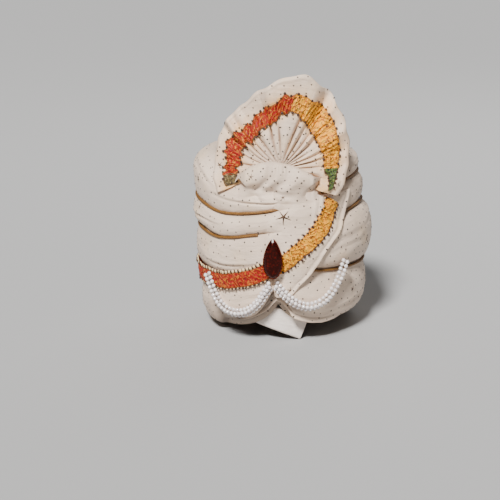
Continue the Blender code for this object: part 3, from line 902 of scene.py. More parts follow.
@dataclass
class WoundBody:
    """The four wound wraps and the crown that closes them."""

    body: BodyForm
    columns: int = 480
    steps: tuple = (96, 44, 44, 44)
    crown_drop: float = 0.022
    crown_rise: float = 0.020
    crown_gap: float = 0.0008
    crown_wall: float = 0.0014
    recess: float = 0.0085
    # depth, width, height, seed
    swells: tuple = ((0.0020, 0.050, 0.022, 3), (0.0004, 0.018, 0.012, 13))
    # depth, height above the hem, width
    hem_ridges: tuple = ((0.0028, 0.0052, 0.0016), (-0.0016, 0.0088, 0.0016))
    # wrap, middle along the wrap's height, wander, turns for each wander, width, depth
    folds: tuple = (
        (0, 0.62, 0.10, 2.0, 0.06, -0.0019),
        (0, 0.30, 0.08, 3.0, 0.05, -0.0012),
        (1, 0.33, 0.12, 2.0, 0.05, -0.0020),
        (1, 0.70, 0.10, 3.0, 0.05, -0.0016),
        (2, 0.45, 0.12, 2.0, 0.07, -0.0018),
        (3, 0.38, 0.10, 2.0, 0.05, -0.0020),
        (3, 0.70, 0.08, 3.0, 0.05, -0.0014),
    )

    def relief(self, index: int, turn: Array, share: Array, points: Array) -> Array:
        """How far a wrap's folds stand out of its smooth form.

        Args:
            index: The wrap.
            turn: Turns.
            share: Share of the way up the wrap's outer side.
            points: The smooth form.

        Returns:
            Distances outward.
        """
        x, y, z = points[..., 0], points[..., 1], points[..., 2]
        out = sum(depth * drift(x / wide, y / wide, z / tall, seed + index)
                  for depth, wide, tall, seed in self.swells)
        for wrap, middle, wander, laps, width, depth in self.folds:
            if wrap == index:
                line = middle + wander * np.sin(np.radians(turn) * laps + 2.1 * wrap + middle * 9)
                strength = np.clip(0.35 + 0.9 * drift(x / 0.06, y / 0.06, 0 * z + laps, 31 + wrap), 0, 1.2)
                fold = bump(share, line, width) - 0.7 * bump(share, line + 1.5 * width, width)
                out = out + depth * strength * fold
        gather = 0.0008 * drift(x / 0.0055, y / 0.0055, z / 0.03, 23 + index)
        out = out + gather * (np.exp(-share / 0.13) + np.exp(-(1 - share) / 0.13))
        edge = np.sin(np.pi * share) ** 0.35
        return out * np.clip(edge, 0, 1)

    def lip_edge(self, turn: Array) -> Array:
        """Height of the outer turn's edge, just under the swags."""
        edges = []
        for swag, strand in ((LEFT_SWAG, 2.9), (RIGHT_SWAG, 2.6)):
            line = swag.line(self.body, strand, 80)
            at = np.degrees(np.arctan2(line[:, 0], -line[:, 1]))
            order = np.argsort(at)
            edges.append(np.interp(turn, at[order], line[order, 2]))
        return np.where(turn < 1.5, edges[0], edges[1])

    def hem_shade(self, turn: Array, height: Array) -> Array:
        """Painted shade under the outer turn's edge, deepest right under the beads.

        Args:
            turn: Turns.
            height: Heights.

        Returns:
            Shares of painted shade.
        """
        below = self.lip_edge(turn) - height
        near = ease(turn, -64, -50) * (1 - ease(turn, 44, 52))
        deep = 0.66 + 0.30 * (1 - ease(turn, 2, 12))
        return near * ease(below, -0.0006, 0.0010) * (
            deep * np.exp(-np.maximum(below, 0) / 0.0045) + 0.46 * (1 - ease(turn, 0, 12)))

    def hem_lip(self, turn: Array, height: Array, low: Array) -> Array:
        """The outer turn of cloth ends along the swags, over a recessed roll with a thin hem.

        Args:
            turn: Turns.
            height: Heights.
            low: The hem's height.

        Returns:
            Distances outward.
        """
        edge, near = self.lip_edge(turn), ease(turn, -56, -47) * (1 - ease(turn, 9, 17))
        lip = 0.0012 * bump(height, edge + 0.003, 0.003)
        recess = -self.recess * (1 - ease(height - edge, -0.0012, 0.0006)) + lip
        hem = ridges(height - low, self.hem_ridges) * ease(turn, -40, -25) * (1 - ease(turn, 40, 60))
        return near * recess + hem

    def wrap(self, index: int) -> bpy.types.Object:
        """Builds one wrap.

        Args:
            index: Which wrap, from the hem up.

        Returns:
            The piece.
        """
        body = self.body
        turn = np.linspace(0, 360, self.columns, endpoint=False)[:, None]
        even = np.linspace(0, 1, self.steps[index] + 1)
        share = (0.4 * even + 0.6 * (np.sin(np.pi * (even - 0.5)) + 1) / 2)[None, :]
        low = body.level(index, turn) + (0.0004 if index else 0.0)
        high = body.level(index + 1, turn) - (0.0004 if index < 3 else 0.0)
        height = low + (high - low) * share
        a = np.radians(turn)
        reach = body.reach(index, turn) - body.drawn(index, turn, height)
        form = np.stack([reach[0] * np.sin(a), -reach[1] * np.cos(a), height], axis=-1)
        turns = np.broadcast_to((turn + 180) % 360 - 180, height.shape)
        out = self.relief(index, turns, np.broadcast_to(share, height.shape), form)
        if index == 0:
            out = out + self.hem_lip(turns, height, low)
        normal = np.cross(np.roll(form, -1, 0) - np.roll(form, 1, 0), np.gradient(form, axis=1))
        normal /= np.maximum(np.linalg.norm(normal, axis=-1, keepdims=True), 1e-9)
        points = form + normal * out[..., None]
        points[..., 2] = np.maximum(points[..., 2], 0.0)
        drop = 0.008 if index == 3 else 0.0
        inner = [body.wall(turn[:, 0], high[:, 0] - drop), body.wall(turn[:, 0], np.maximum(low[:, 0], 0.0))]
        points = np.concatenate([points, np.stack(inner, axis=1)], axis=1)
        rows = points.shape[1]
        u = np.linspace(0, 2 * math.pi * 0.125, self.columns + 1)[:, None] * np.ones((1, rows + 1))
        run = np.linalg.norm(np.diff(points, axis=1, append=points[:, :1]), axis=-1).mean(0)
        v = np.r_[0, np.cumsum(run)][None, :] * np.ones((self.columns + 1, 1))
        # painted shade at the foot and the top of each wrap, next to the grooves
        painted_shade = 0.42 * np.exp(-share / 0.09) + 0.20 * np.exp(-(1 - share) / 0.06) + 0 * turn
        if index == 0:
            # painted shade under the outer turn's edge; the hem's ridge is kept clear of it and the dip above
            # the ridge gets more
            above, past = height - low, ease(turns, -30, -18)
            painted_shade = (painted_shade + self.hem_shade(turns, height)) * (1 - 0.9 * bump(above, 0.0050, 0.0022) * past)
            painted_shade = painted_shade + 0.35 * bump(above, 0.0092, 0.0013) * past * (1 - ease(turns, 40, 55))
        painted_shade = np.concatenate([painted_shade, np.zeros((self.columns, 2))], axis=1)
        piece = reshape(body.names[index], looped(points), np.stack([u, v + 0.3 * index], axis=-1),
                        hollow=looped(np.clip(painted_shade, 0, 0.8)))
        close_up(piece)
        return piece

    def crown(self) -> bpy.types.Object:
        """Builds the dome of cloth, drawn together in soft folds at its middle."""
        body = self.body
        turn = np.linspace(0, 360, 361)[:, None]
        share = np.linspace(0.02, 1, 40)[None, :]
        rim = body.level(4, turn) - self.crown_drop
        height = rim + self.crown_rise * (1 - share**2)
        points = body.wall(turn, height, self.crown_gap)
        points[..., :2] *= share[..., None]
        fold = np.abs(np.sin(np.radians(turn) * 8.5 + 1.4 * np.sin(np.radians(turn) * 3))) ** 0.7 - 0.6
        points[..., 2] += 0.0022 * fold * np.sin(np.pi * share) ** 0.8
        points[..., 2] += 0.0012 * drift(points[..., 0] / 0.03, points[..., 1] / 0.03, 0 * height, 5)
        piece = reshape("crown", points, points[..., :2].copy())
        shape = bmesh.new()
        shape.from_mesh(piece.data)
        bmesh.ops.remove_doubles(shape, verts=shape.verts, dist=2 * WELD)
        ring = [e for e in shape.edges if e.is_boundary and (e.verts[0].co.xy.length < 0.02)]
        bmesh.ops.holes_fill(shape, edges=ring, sides=400)
        bmesh.ops.recalc_face_normals(shape, faces=shape.faces)
        shape.faces.ensure_lookup_table()
        if shape.faces[0].normal.z < 0:
            bmesh.ops.reverse_faces(shape, faces=shape.faces)
        shape.to_mesh(piece.data)
        shape.free()
        thicken(piece, self.crown_wall)
        return piece

    def build(self, finishes: Finishes) -> list[bpy.types.Object]:
        """Builds and dresses the body.

        Args:
            finishes: The turban's finishes.

        Returns:
            The cloth pieces.
        """
        pieces = []
        for index, name in enumerate(self.body.names):
            piece = dress(self.wrap(index), finishes.silk)
            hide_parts(name)
            pieces.append(piece)
        crown = dress(self.crown(), finishes.silk)
        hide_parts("crown")
        return [*pieces, crown]


@dataclass
class FrontDrape:
    """The wide outer turn across the front, with its braid."""

    body: BodyForm
    rows: int = 150
    across: int = 110
    stand: float = 0.0024
    sunk: float = 0.0016
    wall: float = 0.0011
    # depth, size along the drape, size across, seed
    swells: tuple = ((0.0016, 0.060, 0.018, 41), (0.0005, 0.020, 0.007, 43))
    # depth, distance from the hem, width
    hem_ridges: tuple = ((0.0012, 0.0015, 0.0028), (-0.0007, 0.0070, 0.0028))
    # depth, distance from the crease, width
    crease_ridges: tuple = ((0.0013, 0.0, 0.0028), (-0.0012, 0.0052, 0.0022), (0.0009, -0.009, 0.004))
    # height, inner edge, hem edge
    edges: tuple = (
        (0.300, 2.5, 12.0),
        (0.335, 1.5, 15.7),
        (0.375, 0.5, 19.0),
        (0.443, -1.5, 25.8),
        (0.583, -6.5, 35.5),
        (0.720, -6.0, 49.8),
        (0.823, -2.0, 57.5),
        (0.900, 2.0, 61.0),
    )
    # turn, height
    braid_line: tuple = (
        (-178.0, 0.345), (-130.0, 0.330), (-82.0, 0.338), (-48.0, 0.358), (-36.0, 0.362),
        (-24.0, 0.388), (-13.0, 0.418), (-5.0, 0.452), (7.3, 0.509), (15.7, 0.577),
        (23.5, 0.636), (37.0, 0.757), (44.0, 0.862),
    )
    braid_width: float = 0.022
    braid_gap: float = 0.0007
    braid_bridge: float = 0.0009
    braid_change: float = 0.5
    braid_part: float = 3.5

    def relief(self, share: Array, turn: Array, points: Array) -> Array:
        """How far the drape's folds stand out: a rolled hem, a crease beside the braid, soft swells.

        Args:
            share: 0 at the inner edge to 1 at the hem.
            turn: Turns.
            points: The smooth form.

        Returns:
            Distances outward.
        """
        x, y, z = points[..., 0], points[..., 1], points[..., 2]
        size = np.hypot(x, y)
        height = z / self.body.height
        spread = curve(self.edges, 2, height) - curve(self.edges, 1, height)
        out = ridges((1 - share) * np.radians(spread) * size, self.hem_ridges)
        along = z * 0.8 - np.radians(turn) * size * 0.6
        cross = z * 0.6 + np.radians(turn) * size * 0.8
        for depth, long, wide, seed in self.swells:
            out = out + depth * drift(along / long, cross / wide, 0 * z, seed)
        crease = np.radians(turn - 31 - (z - 0.15) * 120) * size
        return out + ease(z, 0.135, 0.175) * ridges(crease, self.crease_ridges)

    def cloth(self) -> bpy.types.Object:
        """Builds the drape, whose inner edge sinks into the wraps."""
        body = self.body
        height = np.linspace(self.edges[0][0], self.edges[-1][0], self.rows)[:, None]
        height = height * np.ones((1, self.across))
        share = np.linspace(0, 1, self.across)[None, :] * np.ones((self.rows, 1))
        first, last = curve(self.edges, 1, height), curve(self.edges, 2, height)
        turn = first + (last - first) * share
        z = height * body.height
        points = body.skin(turn, z, 0.0, span=ease(share, 0.0, 0.30))
        stand = -self.sunk + (self.stand + self.sunk) * ease(share, 0.0, 0.12)
        out = stand + self.relief(share, turn, points) * ease(share, 0.02, 0.25)
        a = np.radians(turn)
        outward = np.stack([np.sin(a), -np.cos(a), 0 * a], axis=-1)
        points = points + outward * out[..., None]
        size = np.hypot(points[..., 0], points[..., 1])
        uv = np.stack([np.radians(turn) * size, z], axis=-1)
        # painted shade along a line seven tenths of the way out to the hem, in the drape's upper part
        painted_shade = 0.30 * bump(share, 0.70, 0.03) * ease(height, 0.5, 0.8)
        piece = reshape("front_drape", points[:, ::-1], uv[:, ::-1], hollow=painted_shade[:, ::-1])
        face_toward(piece)
        thicken(piece, self.wall)
        return piece

    def braid(self, name: str, first: float, last: float, colour: Colour, on: Surface) -> "BraidStrip":
        """Lays a run of the braid along its line.

        Args:
            name: The piece's name.
            first: The turn that it starts at.
            last: The turn that it ends at.
            colour: Its colouring.
            on: What it lies on.

        Returns:
            The strip's lattice and facing.
        """
        body = self.body
        count = int(abs(last - first) / 0.30)
        turn = np.linspace(first, last, count)
        middle = curve(self.braid_line, 1, turn) * body.height
        here = body.skin(turn, middle)
        size = np.hypot(here[:, 0], here[:, 1])
        run = np.radians(np.gradient(turn)) * size
        slope = np.arctan2(np.gradient(middle), run)
        side = (np.linspace(-0.5, 0.5, 13) * self.braid_width)[None, :]
        at = turn[:, None] - np.degrees(side * np.sin(slope)[:, None] / size[:, None])
        height = middle[:, None] + side * np.cos(slope)[:, None]
        bridge = body.skin(at, height, self.braid_bridge)
        laid = on.around(bridge, self.braid_gap)
        farther = np.linalg.norm(laid[..., :2], axis=-1) > np.linalg.norm(bridge[..., :2], axis=-1)
        points = np.where(farther[..., None], laid, bridge)
        edges = ZIGZAG if colour is Colour.GOLD else SCALLOPS
        return BraidStrip(name, points, colour, edges)

    def build(self, finishes: Finishes, wraps: list[bpy.types.Object]) -> list[bpy.types.Object]:
        """Builds and dresses the drape and its braid.

        Args:
            finishes: The turban's finishes.
            wraps: The finished wraps.

        Returns:
            The drape, alone in a list.
        """
        drape = dress(self.cloth(), finishes.silk)
        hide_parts("front_drape")
        trims = []
        start, end = self.braid_change + self.braid_part, self.braid_change - self.braid_part
        on = Surface([*wraps, drape])
        for name, first, last, colour in (("drape_braid_gold", start, self.braid_line[-1][0], Colour.GOLD),
                                          ("drape_braid_red", self.braid_line[0][0], end, Colour.RED)):
            made = self.braid(name, first, last, colour, on).build(finishes)
            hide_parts(name)
            trims += made
        return [drape]


@dataclass(frozen=True)
class BraidEdge:
    """How one edge of a braid is finished with dark teeth and pale scallops.

    A tooth's place is its distance outside the strip; every other tooth uses the second place.
    """

    pitch: float
    tooth: tuple
    places: tuple
    scallop: float = 0.0

    @property
    def zigzag(self) -> bool:
        """Whether the teeth stand in and out by turns."""
        return self.places[0] != self.places[1]


PLAIN_TEETH = (BraidEdge(0.0088, (0.0017, 0.0016), (0.0006, 0.0006)),) * 2
ZIGZAG = (BraidEdge(0.0056, (0.0016, 0.0021), (-0.0006, 0.0014)),
          BraidEdge(0.0056, (0.0016, 0.0021), (-0.0006, 0.0014), 0.0019))
SCALLOPS = (BraidEdge(0.0058, (0.0013, 0.0017), (0.0003, 0.0003), 0.0010),
            BraidEdge(0.0058, (0.0011, 0.0026), (0.0008, 0.0008), 0.0023))


@dataclass
class BraidStrip:
    """One run of crinkled braid with teeth on both edges, its columns from the low or inner edge on."""

    name: str
    points: Array
    colour: Colour
    edges: tuple
    wall: float = 0.0007
    crinkle: float = 0.0010
    pitch: float = 0.0062
    stand: float = 0.0003
    tooth_lift: float = 0.0004
    tooth_rise: float = 0.0009
    scallop_rise: float = 0.0010

    def outward(self) -> Array:
        """Directions out of the strip at each point."""
        out = np.cross(np.gradient(self.points, axis=0), np.gradient(self.points, axis=1))
        out /= np.linalg.norm(out, axis=-1, keepdims=True)
        i, j = len(out) // 2, out.shape[1] // 2
        return out if np.dot(out[i, j], self.points[i, j] * (1, 1, 0)) > 0 else -out

    def build(self, finishes: Finishes) -> list[bpy.types.Object]:
        """Builds the strip, its dark teeth and its pale scallops.

        Args:
            finishes: The turban's finishes.

        Returns:
            The pieces.
        """
        out = self.outward()
        mid = self.points.shape[1] // 2
        run = run_along(self.points[:, mid])
        u, v = np.meshgrid(run, np.linspace(-1, 1, self.points.shape[1]), indexing="ij")
        seed = sum(map(ord, self.name)) % 89
        wave = np.sin(2 * np.pi * u / self.pitch + 2.2 * drift(u / 0.012, v * 1.2, 0 * u, seed))
        lift = self.crinkle * (0.5 + 0.5 * wave) * (1 - 0.35 * v**2)
        lift = lift + 0.6 * self.crinkle * drift(u / 0.0035, v * 4.0, 0 * u, seed + 1)
        points = self.points + out * (lift + self.stand)[..., None]
        piece = reshape(self.name, points, np.stack([u, v * self.colour.value.half_width], axis=-1))
        face_toward(piece, Vector(out[len(out) // 2, mid]))
        thicken(piece, self.wall)
        dress(piece, finishes.braid[self.colour])
        return [piece, *self.trims(points, run, out, finishes)]

    def trims(self, points: Array, run: Array, out: Array, finishes: Finishes) -> list[bpy.types.Object]:
        """Builds the teeth and the scallops.

        Args:
            points: The strip's lattice.
            run: Distance along it.
            out: Its outward directions.
            finishes: The turban's finishes.

        Returns:
            The pieces.
        """
        teeth, scallops = [], []
        for column, inside, edge in ((0, 1, self.edges[0]), (-1, -2, self.edges[1])):
            for k in range(int(run[-1] / edge.pitch)):
                rough = ((k * 37 + 11) % 17) / 17
                at = np.searchsorted(run, [(k + start + 0.25 * rough) * edge.pitch for start in (0.5, 1.05)])
                i, j = (min(int(row), len(run) - 1) for row in at)
                away = Vector(points[i, column] - points[i, inside]).normalized()
                normal = Vector(out[i, column])
                place = Vector(points[i, column]) + away * edge.places[k % 2] + normal * self.tooth_lift
                across, along = (size * (0.8 + 0.4 * rough) for size in edge.tooth)
                shape = Matrix.Diagonal((along, across, self.tooth_rise, 1.0))
                teeth.append(seat(place, normal, away + normal.cross(away) * 0.5 * (rough - 0.5)) @ shape)
                if edge.scallop and not (edge.zigzag and k % 2):
                    if edge.zigzag:
                        j = i
                    place = Vector(points[j, column]) + away * edge.scallop * 0.55
                    shape = Matrix.Diagonal((edge.scallop, edge.scallop * 0.95, self.scallop_rise, 1.0))
                    scallops.append(seat(place, Vector(out[j, column]), away) @ shape)
        pieces = []
        for kind, places, finish in (("teeth", teeth, finishes.dark), ("scallops", scallops, finishes.cream)):
            if places:
                deselect()
                bpy.ops.mesh.primitive_uv_sphere_add(segments=9, ring_count=6, radius=1.0)
                piece = joined(f"{self.name}_{kind}", bpy.context.object, places)
                pieces.append(dress(piece, finish))
        return pieces


@dataclass
class FanCrest:
    """The pleated fan, the braid along its edge and the roll at its foot."""

    body: BodyForm
    hub_reach: float = 0.0045
    reach: float = 0.126
    lean: float = 0.21
    sweep_left: float = 1.1
    sweep_right: float = 2.7
    setback: float = 0.033
    raise_by: float = 0.010
    shift: float = 0.001
    stand: float = 0.0075
    braid_width: float = 0.022
    braid_stand: float = 0.0014
    pleat_depth: float = 0.0128
    gather_shift: float = 0.0075
    stand_off: float = 0.0034
    wall: float = 0.0010
    pleat_shape: float = 0.85
    # share of the stand and of the margin's waves that the left and right lower corners lose
    corner_stand: tuple = (0.45, 0.20)
    corner_margin: tuple = (0.95, 0.6)
    roll_left: float = -0.050
    roll_right: float = 0.062
    roll_depth: float = 0.024
    roll_height: float = 0.038
    roll_sink: float = 0.0168
    roll_steps: int = 170
    roll_sides: int = 64
    skirt_steps: int = 44
    fan_room: float = 0.0017
    skirt_foot: float = 0.1835
    skirt_climb: float = 0.006
    skirt_lift: float = 24.0
    # depth, share past the mound's ridge, width
    mound_lobes: tuple = (
        (0.0026, 0.0, 0.050), (-0.0024, -0.09, 0.05), (0.0022, -0.24, 0.09),
        (-0.0014, 0.12, 0.05), (0.0020, 0.26, 0.08),
    )
    # angle, edge, margin, width of the braid
    outline: tuple = (
        (-23.0, 0.700, 0.093, 0.70),
        (-10.0, 0.720, 0.095, 0.75),
        (0.0, 0.725, 0.097, 0.80),
        (14.0, 0.755, 0.098, 0.90),
        (31.0, 0.815, 0.105, 1.25),
        (48.6, 0.878, 0.120, 1.35),
        (66.0, 0.968, 0.175, 1.15),
        (73.0, 1.000, 0.205, 1.05),
        (82.0, 0.950, 0.195, 1.10),
        (97.0, 0.835, 0.205, 1.05),
        (105.0, 0.790, 0.205, 0.95),
        (118.0, 0.720, 0.195, 0.85),
        (133.0, 0.700, 0.170, 0.90),
        (156.0, 0.660, 0.113, 1.00),
        (173.0, 0.635, 0.105, 0.95),
        (188.0, 0.650, 0.108, 0.90),
        (204.0, 0.655, 0.110, 0.80),
    )
    # name, first angle, last angle, colouring, sway, share of width lost by the start
    strips: tuple = (
        ("crest_braid_green", -20.0, -1.0, Colour.GREEN, 0.0008, 0.80),
        ("crest_braid_gold", -1.5, 75.0, Colour.GOLD, 0.0010, 0.0),
        ("crest_braid_red", 75.0, 190.0, Colour.RED, 0.0032, 0.0),
        ("crest_braid_turned_end", 188.5, 202.0, Colour.OLIVE, 0.0010, 0.0),
    )
    # angle of each crease at the foot, how far it bends by the edge
    creases: tuple = (
        (-26.0, 0.0), (-12.0, -3.0), (-1.0, 3.0), (9.0, 4.0), (18.0, 3.0),
        (27.0, 5.0), (36.0, 4.0), (46.0, 7.0), (58.0, 3.0), (73.0, -7.0),
        (90.0, 7.0), (107.0, -7.0), (125.0, 3.0), (141.0, -13.0), (152.0, -19.0),
        (161.0, -14.0), (169.0, -8.0), (178.0, -3.0), (188.0, 2.0), (206.0, 0.0),
    )

    @property
    def foot(self) -> Array:
        """The point that the pleats run out from."""
        return np.array([self.shift, self.setback - self.body.depth / 2, self.body.height + self.raise_by])

    def radii(self, angle: Array) -> tuple[Array, Array, Array]:
        """Distances from the foot to the braid's inner edge, its outer edge and the fan's edge."""
        edge = curve(self.outline, 1, angle) * self.reach
        outer = edge - curve(self.outline, 2, angle) * self.reach
        return outer - curve(self.outline, 3, angle) * self.braid_width, outer, edge

    def surface(self, angle: Array, radius: Array, forward: Array = 0.0) -> Array:
        """Points of the fan.

        Args:
            angle: Angles from +X.
            radius: Distances from the foot.
            forward: How far in front of the cloth.

        Returns:
            The points.
        """
        a = np.radians(angle)
        x, z = radius * np.cos(a), radius * np.sin(a)
        sweep = np.where(x < 0, self.sweep_left, self.sweep_right)
        points = np.stack([x, self.lean * z + sweep * x * x, z], axis=-1) + self.foot
        left, right = self.corners(angle)
        stand = self.stand * (1 - self.corner_stand[0] * left - self.corner_stand[1] * right)
        points[..., 1] = np.minimum(points[..., 1], self.skin_behind(points) - stand)
        points[..., 1] -= self.folds(angle, radius) + forward
        return points

    def corners(self, angle: Array) -> tuple[Array, Array]:
        """Shares of the way into the left and right lower corners, which lie close on the wraps."""
        return ease(angle, 182, 202), ease(-angle, 2, 22)

    def skin_behind(self, points: Array) -> Array:
        """How far back the wraps' skin lies behind points of the fan, found in a few rounds."""
        turn = np.zeros_like(points[..., 0])
        for _ in range(4):
            wide = np.hypot(*np.moveaxis(self.body.skin(turn, points[..., 2])[..., :2], -1, 0))
            turn = np.degrees(np.arcsin(np.clip(points[..., 0] / np.maximum(wide, 1e-4), -0.98, 0.98)))
        return self.body.skin(turn, points[..., 2])[..., 1]

    def folds(self, angle: Array, radius: Array) -> Array:
        """How far the pleats and the margin's waves stand forward.

        Args:
            angle: Angles from +X.
            radius: Distances from the foot.

        Returns:
            Distances forward.
        """
        x, z = radius * np.cos(np.radians(angle)), radius * np.sin(np.radians(angle))
        inner, outer, edge = self.radii(angle)
        left, right = self.corners(angle)
        past = ease(radius, inner * 0.70, outer)
        lobe, place = self.pleat(angle, radius)
        gap = np.interp(place, np.arange(len(self.creases)), self.crease_rows()[2])
        uneven = 0.75 + 0.45 * np.sin(np.round(place - 0.5) * 2.4)
        depth = np.minimum(self.pleat_depth, 0.95 * np.radians(gap) * radius)
        depth = depth * ease(radius, self.hub_reach, 0.013)
        depth = depth * (1 - 0.86 * past) * (1 + (uneven - 1) * np.abs(np.sin(np.pi * place)))
        small = np.abs(np.sin(np.pi * (2.0 * place + 0.35 * np.sin(place * 5.1)))) ** 0.7
        minor = 0.13 * depth * (small - 0.6) * bump(radius, 0.026, 0.024)
        margin = 0.0046 * np.sin(place * 1.35 + 1.0) + 0.0022 * np.sin(place * 3.1)
        margin = margin + 0.0024 * drift(x / 0.024, z / 0.024, 0 * x, 61)
        margin = margin * past * (1 - self.corner_margin[0] * left) * (1 - self.corner_margin[1] * right)
        tuck = -0.0035 * ease(radius, outer, edge) * bump(angle, 150.0, 14.0)
        return depth * (lobe - 0.55) + minor + margin + tuck

    def painted_shade(self, angle: Array, radius: Array) -> Array:
        """Painted shade in the creases between the pleats, reaching further across one side of each crease.

        Args:
            angle: Angles from +X.
            radius: Distances from the foot.

        Returns:
            Shares of painted shade.
        """
        lobe, place = self.pleat(angle, radius)
        inner, outer, _ = self.radii(angle)
        share = place - np.floor(place)
        share = np.where(place > 8.5, 1 - share, share)
        # painted shade: close round each crease, and spread wider on one side of it
        deep = 0.24 * (1 - lobe) ** 1.5 + 0.08 * bump(share, 0.0, 0.30)
        return deep * ease(radius, 0.004, 0.02) * (1 - 0.8 * ease(radius, inner, outer))

    def pleat(self, angle: Array, radius: Array) -> tuple[Array, Array]:
        """The pleats' pattern.

        Args:
            angle: Angles from +X.
            radius: Distances from the foot.

        Returns:
            How full each place is, 0 in a crease and 1 on a ridge, and the place in pleats from the first.
        """
        a = np.radians(angle)
        seen = np.degrees(np.arctan2(radius * np.sin(a), radius * np.cos(a) - self.gather_shift))
        seen = np.where(seen < -90, seen + 360, seen)
        bent = seen - np.interp(seen, *self.crease_rows()[:2]) * (radius / self.reach) ** 1.3 * 2.0
        place = np.interp(bent, self.crease_rows()[0], np.arange(len(self.creases)))
        skew = 0.16 * np.where(place > 8.5, 1.0, -1.0)
        lean = place + skew * np.sin(2 * np.pi * place) / np.pi
        lobe = np.abs(np.sin(np.pi * lean)) ** self.pleat_shape
        # each crease runs out at a length of its own, so that the pleats open into leaves
        length = self.radii(angle)[0] * (0.80 + 0.42 * np.abs(np.sin(np.round(place) * 1.9)))
        return 1 - (1 - lobe) * (1 - 0.78 * ease(radius, 0.55 * length, 1.05 * length)), place

    def crease_rows(self) -> Array:
        """The creases' angles, their bends and the gaps between them, as three rows."""
        angle, bend = np.array(self.creases).T
        return np.array([angle, bend, np.gradient(angle)])

    def cloth(self) -> bpy.types.Object:
        """Builds the fan's cloth."""
        first, last = self.outline[0][0], self.outline[-1][0]
        angle = np.linspace(first, last, 720)[:, None]
        share = np.linspace(0, 1, 72)[None, :] ** 0.9
        edge = self.radii(angle)[2]
        wavy = edge * (1 + 0.008 * np.sin(np.radians(angle) * 21 + 1.0))
        radius = self.hub_reach + (wavy - self.hub_reach) * share
        angles = angle * np.ones_like(share)
        points = self.surface(angles, radius)
        rim = ease(share, 0.955, 1.0)
        points[..., 1] += 0.0012 * rim - 0.0010 * bump(share, 0.965, 0.02)
        uv = np.stack([np.radians(angles) * 0.06, radius], axis=-1)
        inner, outer, edge = self.radii(angles)
        away = np.maximum(inner - radius, radius - outer)
        tint = np.exp(-np.maximum(away, 0.0) / 0.008) * (1.0 + 0.3 * np.sin(np.radians(angles) * 9.0))
        # the last mark carries painted shade between the pleats
        piece = reshape("crest_fan", points, uv, tint=0.75 * tint, hollow=self.painted_shade(angles, radius))
        face_toward(piece, Vector((0, -1, 0)))
        thicken(piece, self.wall)
        return piece

    def strip(self, name: str, first: float, last: float, colour: Colour, sway: float,
              tail: float) -> BraidStrip:
        """Lays braid along part of the fan's edge.

        Args:
            name: The strip's name.
            first: The angle that it starts at.
            last: The angle that it ends at.
            colour: Its colouring.
            sway: How far the pleats push its edges in and out.
            tail: Share of its width that it loses towards its outer edge, by the start.

        Returns:
            The strip.
        """
        angle = np.linspace(first, last, max(int((last - first) * 3.6), 30))[:, None]
        inner, outer, _ = self.radii(angle)
        inner = inner + (outer - inner) * tail * (last - angle) / (last - first)
        side = np.linspace(0.0, 1.0, 15)[None, :]
        kink = np.abs(((angle * 0.072 + 0.2 * np.sin(angle * 0.31)) % 1.0) * 2 - 1) * 2 - 1
        wander = sway * (kink + 0.6 * drift(angle / 4.0, 2.0 * side, 0 * angle, 67))
        radius = inner + (outer - inner) * side + wander
        points = self.surface(angle * np.ones_like(radius), radius, self.braid_stand)
        return BraidStrip(name, points, colour, PLAIN_TEETH)

    def roll(self, on: Surface) -> bpy.types.Object:
        """Builds the soft mound at the fan's foot, whose front runs down into the cloth below.

        Args:
            on: The wraps and the drape under it.

        Returns:
            The piece.
        """
        share = np.linspace(0, 1, self.roll_steps)
        plump = 1 + 0.06 * np.sin(5.2 * share + 0.5)
        full = np.maximum(np.sin(np.pi * (0.012 + 0.976 * share)), 0) ** 0.42 * plump
        points = np.array([self.roll_section(s, f, on) for s, f in zip(share, full)])
        points[..., 1] -= self.mound_relief(share[:, None], points)
        wrapped = np.concatenate([points, points[:, :1]], axis=1)
        run = np.linalg.norm(np.diff(wrapped, axis=1), axis=-1).cumsum(axis=1)
        uv = np.stack([wrapped[..., 0], np.concatenate([0 * run[:, :1], run], axis=1)], axis=-1)
        ridge, up = self.mound_ridge(share[:, None], wrapped[..., 2])
        # painted shade in the two creases beside the mound's ridge, fading out towards its foot
        painted_shade = 0.16 * bump(ridge, -0.10, 0.045) + 0.10 * bump(ridge, 0.12, 0.045)
        piece = reshape("crest_roll", wrapped, uv, hollow=painted_shade * ease(up, -0.6, -0.1))
        close_up(piece)
        return piece

    def roll_section(self, s: float, f: float, on: Surface) -> Array:
        """One section of the mound, from its skirt's foot over the top and down behind.

        Args:
            s: Share of the way from the left end to the right.
            f: How full the roll is there.
            on: The wraps and the drape under it.

        Returns:
            The section's points.
        """
        x = self.roll_left + (self.roll_right - self.roll_left) * s
        depth, tall = self.roll_depth / 2 * f, self.roll_height / 2 * f
        against_fan = self.foot[1] - self.stand_off - self.fan_room - self.roll_depth / 2
        inside = float(ease(s, 0.0, 0.16) * (1 - ease(s, 0.91, 1.0)))
        on_cloth = on.front(x, 0.200, against_fan) + depth + 0.0006
        middle = against_fan * inside + on_cloth * (1 - inside)
        low = self.body.height - self.roll_sink
        lift = math.radians(self.skirt_lift)
        join_z, join_y = low + tall * (1 + math.sin(lift)), middle - depth * math.cos(lift)
        foot_z = self.skirt_foot + self.skirt_climb * s
        near = on.front(x, foot_z, middle)
        lean = np.clip((on.front(x, foot_z + 0.003, near) - near) / 0.003, -0.6, 0.9)
        t = np.linspace(0, 1, self.skirt_steps)
        span = join_z - foot_z
        back = depth * math.sin(lift) / (tall * math.cos(lift) + 1e-6)
        y = ((2 * t**3 - 3 * t**2 + 1) * (near + 0.0008) + (t**3 - 2 * t**2 + t) * lean * span
             + (3 * t**2 - 2 * t**3) * join_y + (t**3 - t**2) * back * span)
        z = foot_z + span * t
        cloth = np.array([on.front(x, float(h), middle) for h in z])
        y = np.minimum(y, cloth + 0.0008 - 0.0012 * ease(t, 0.0, 0.2))
        wide = 0.34 - 0.28 * t
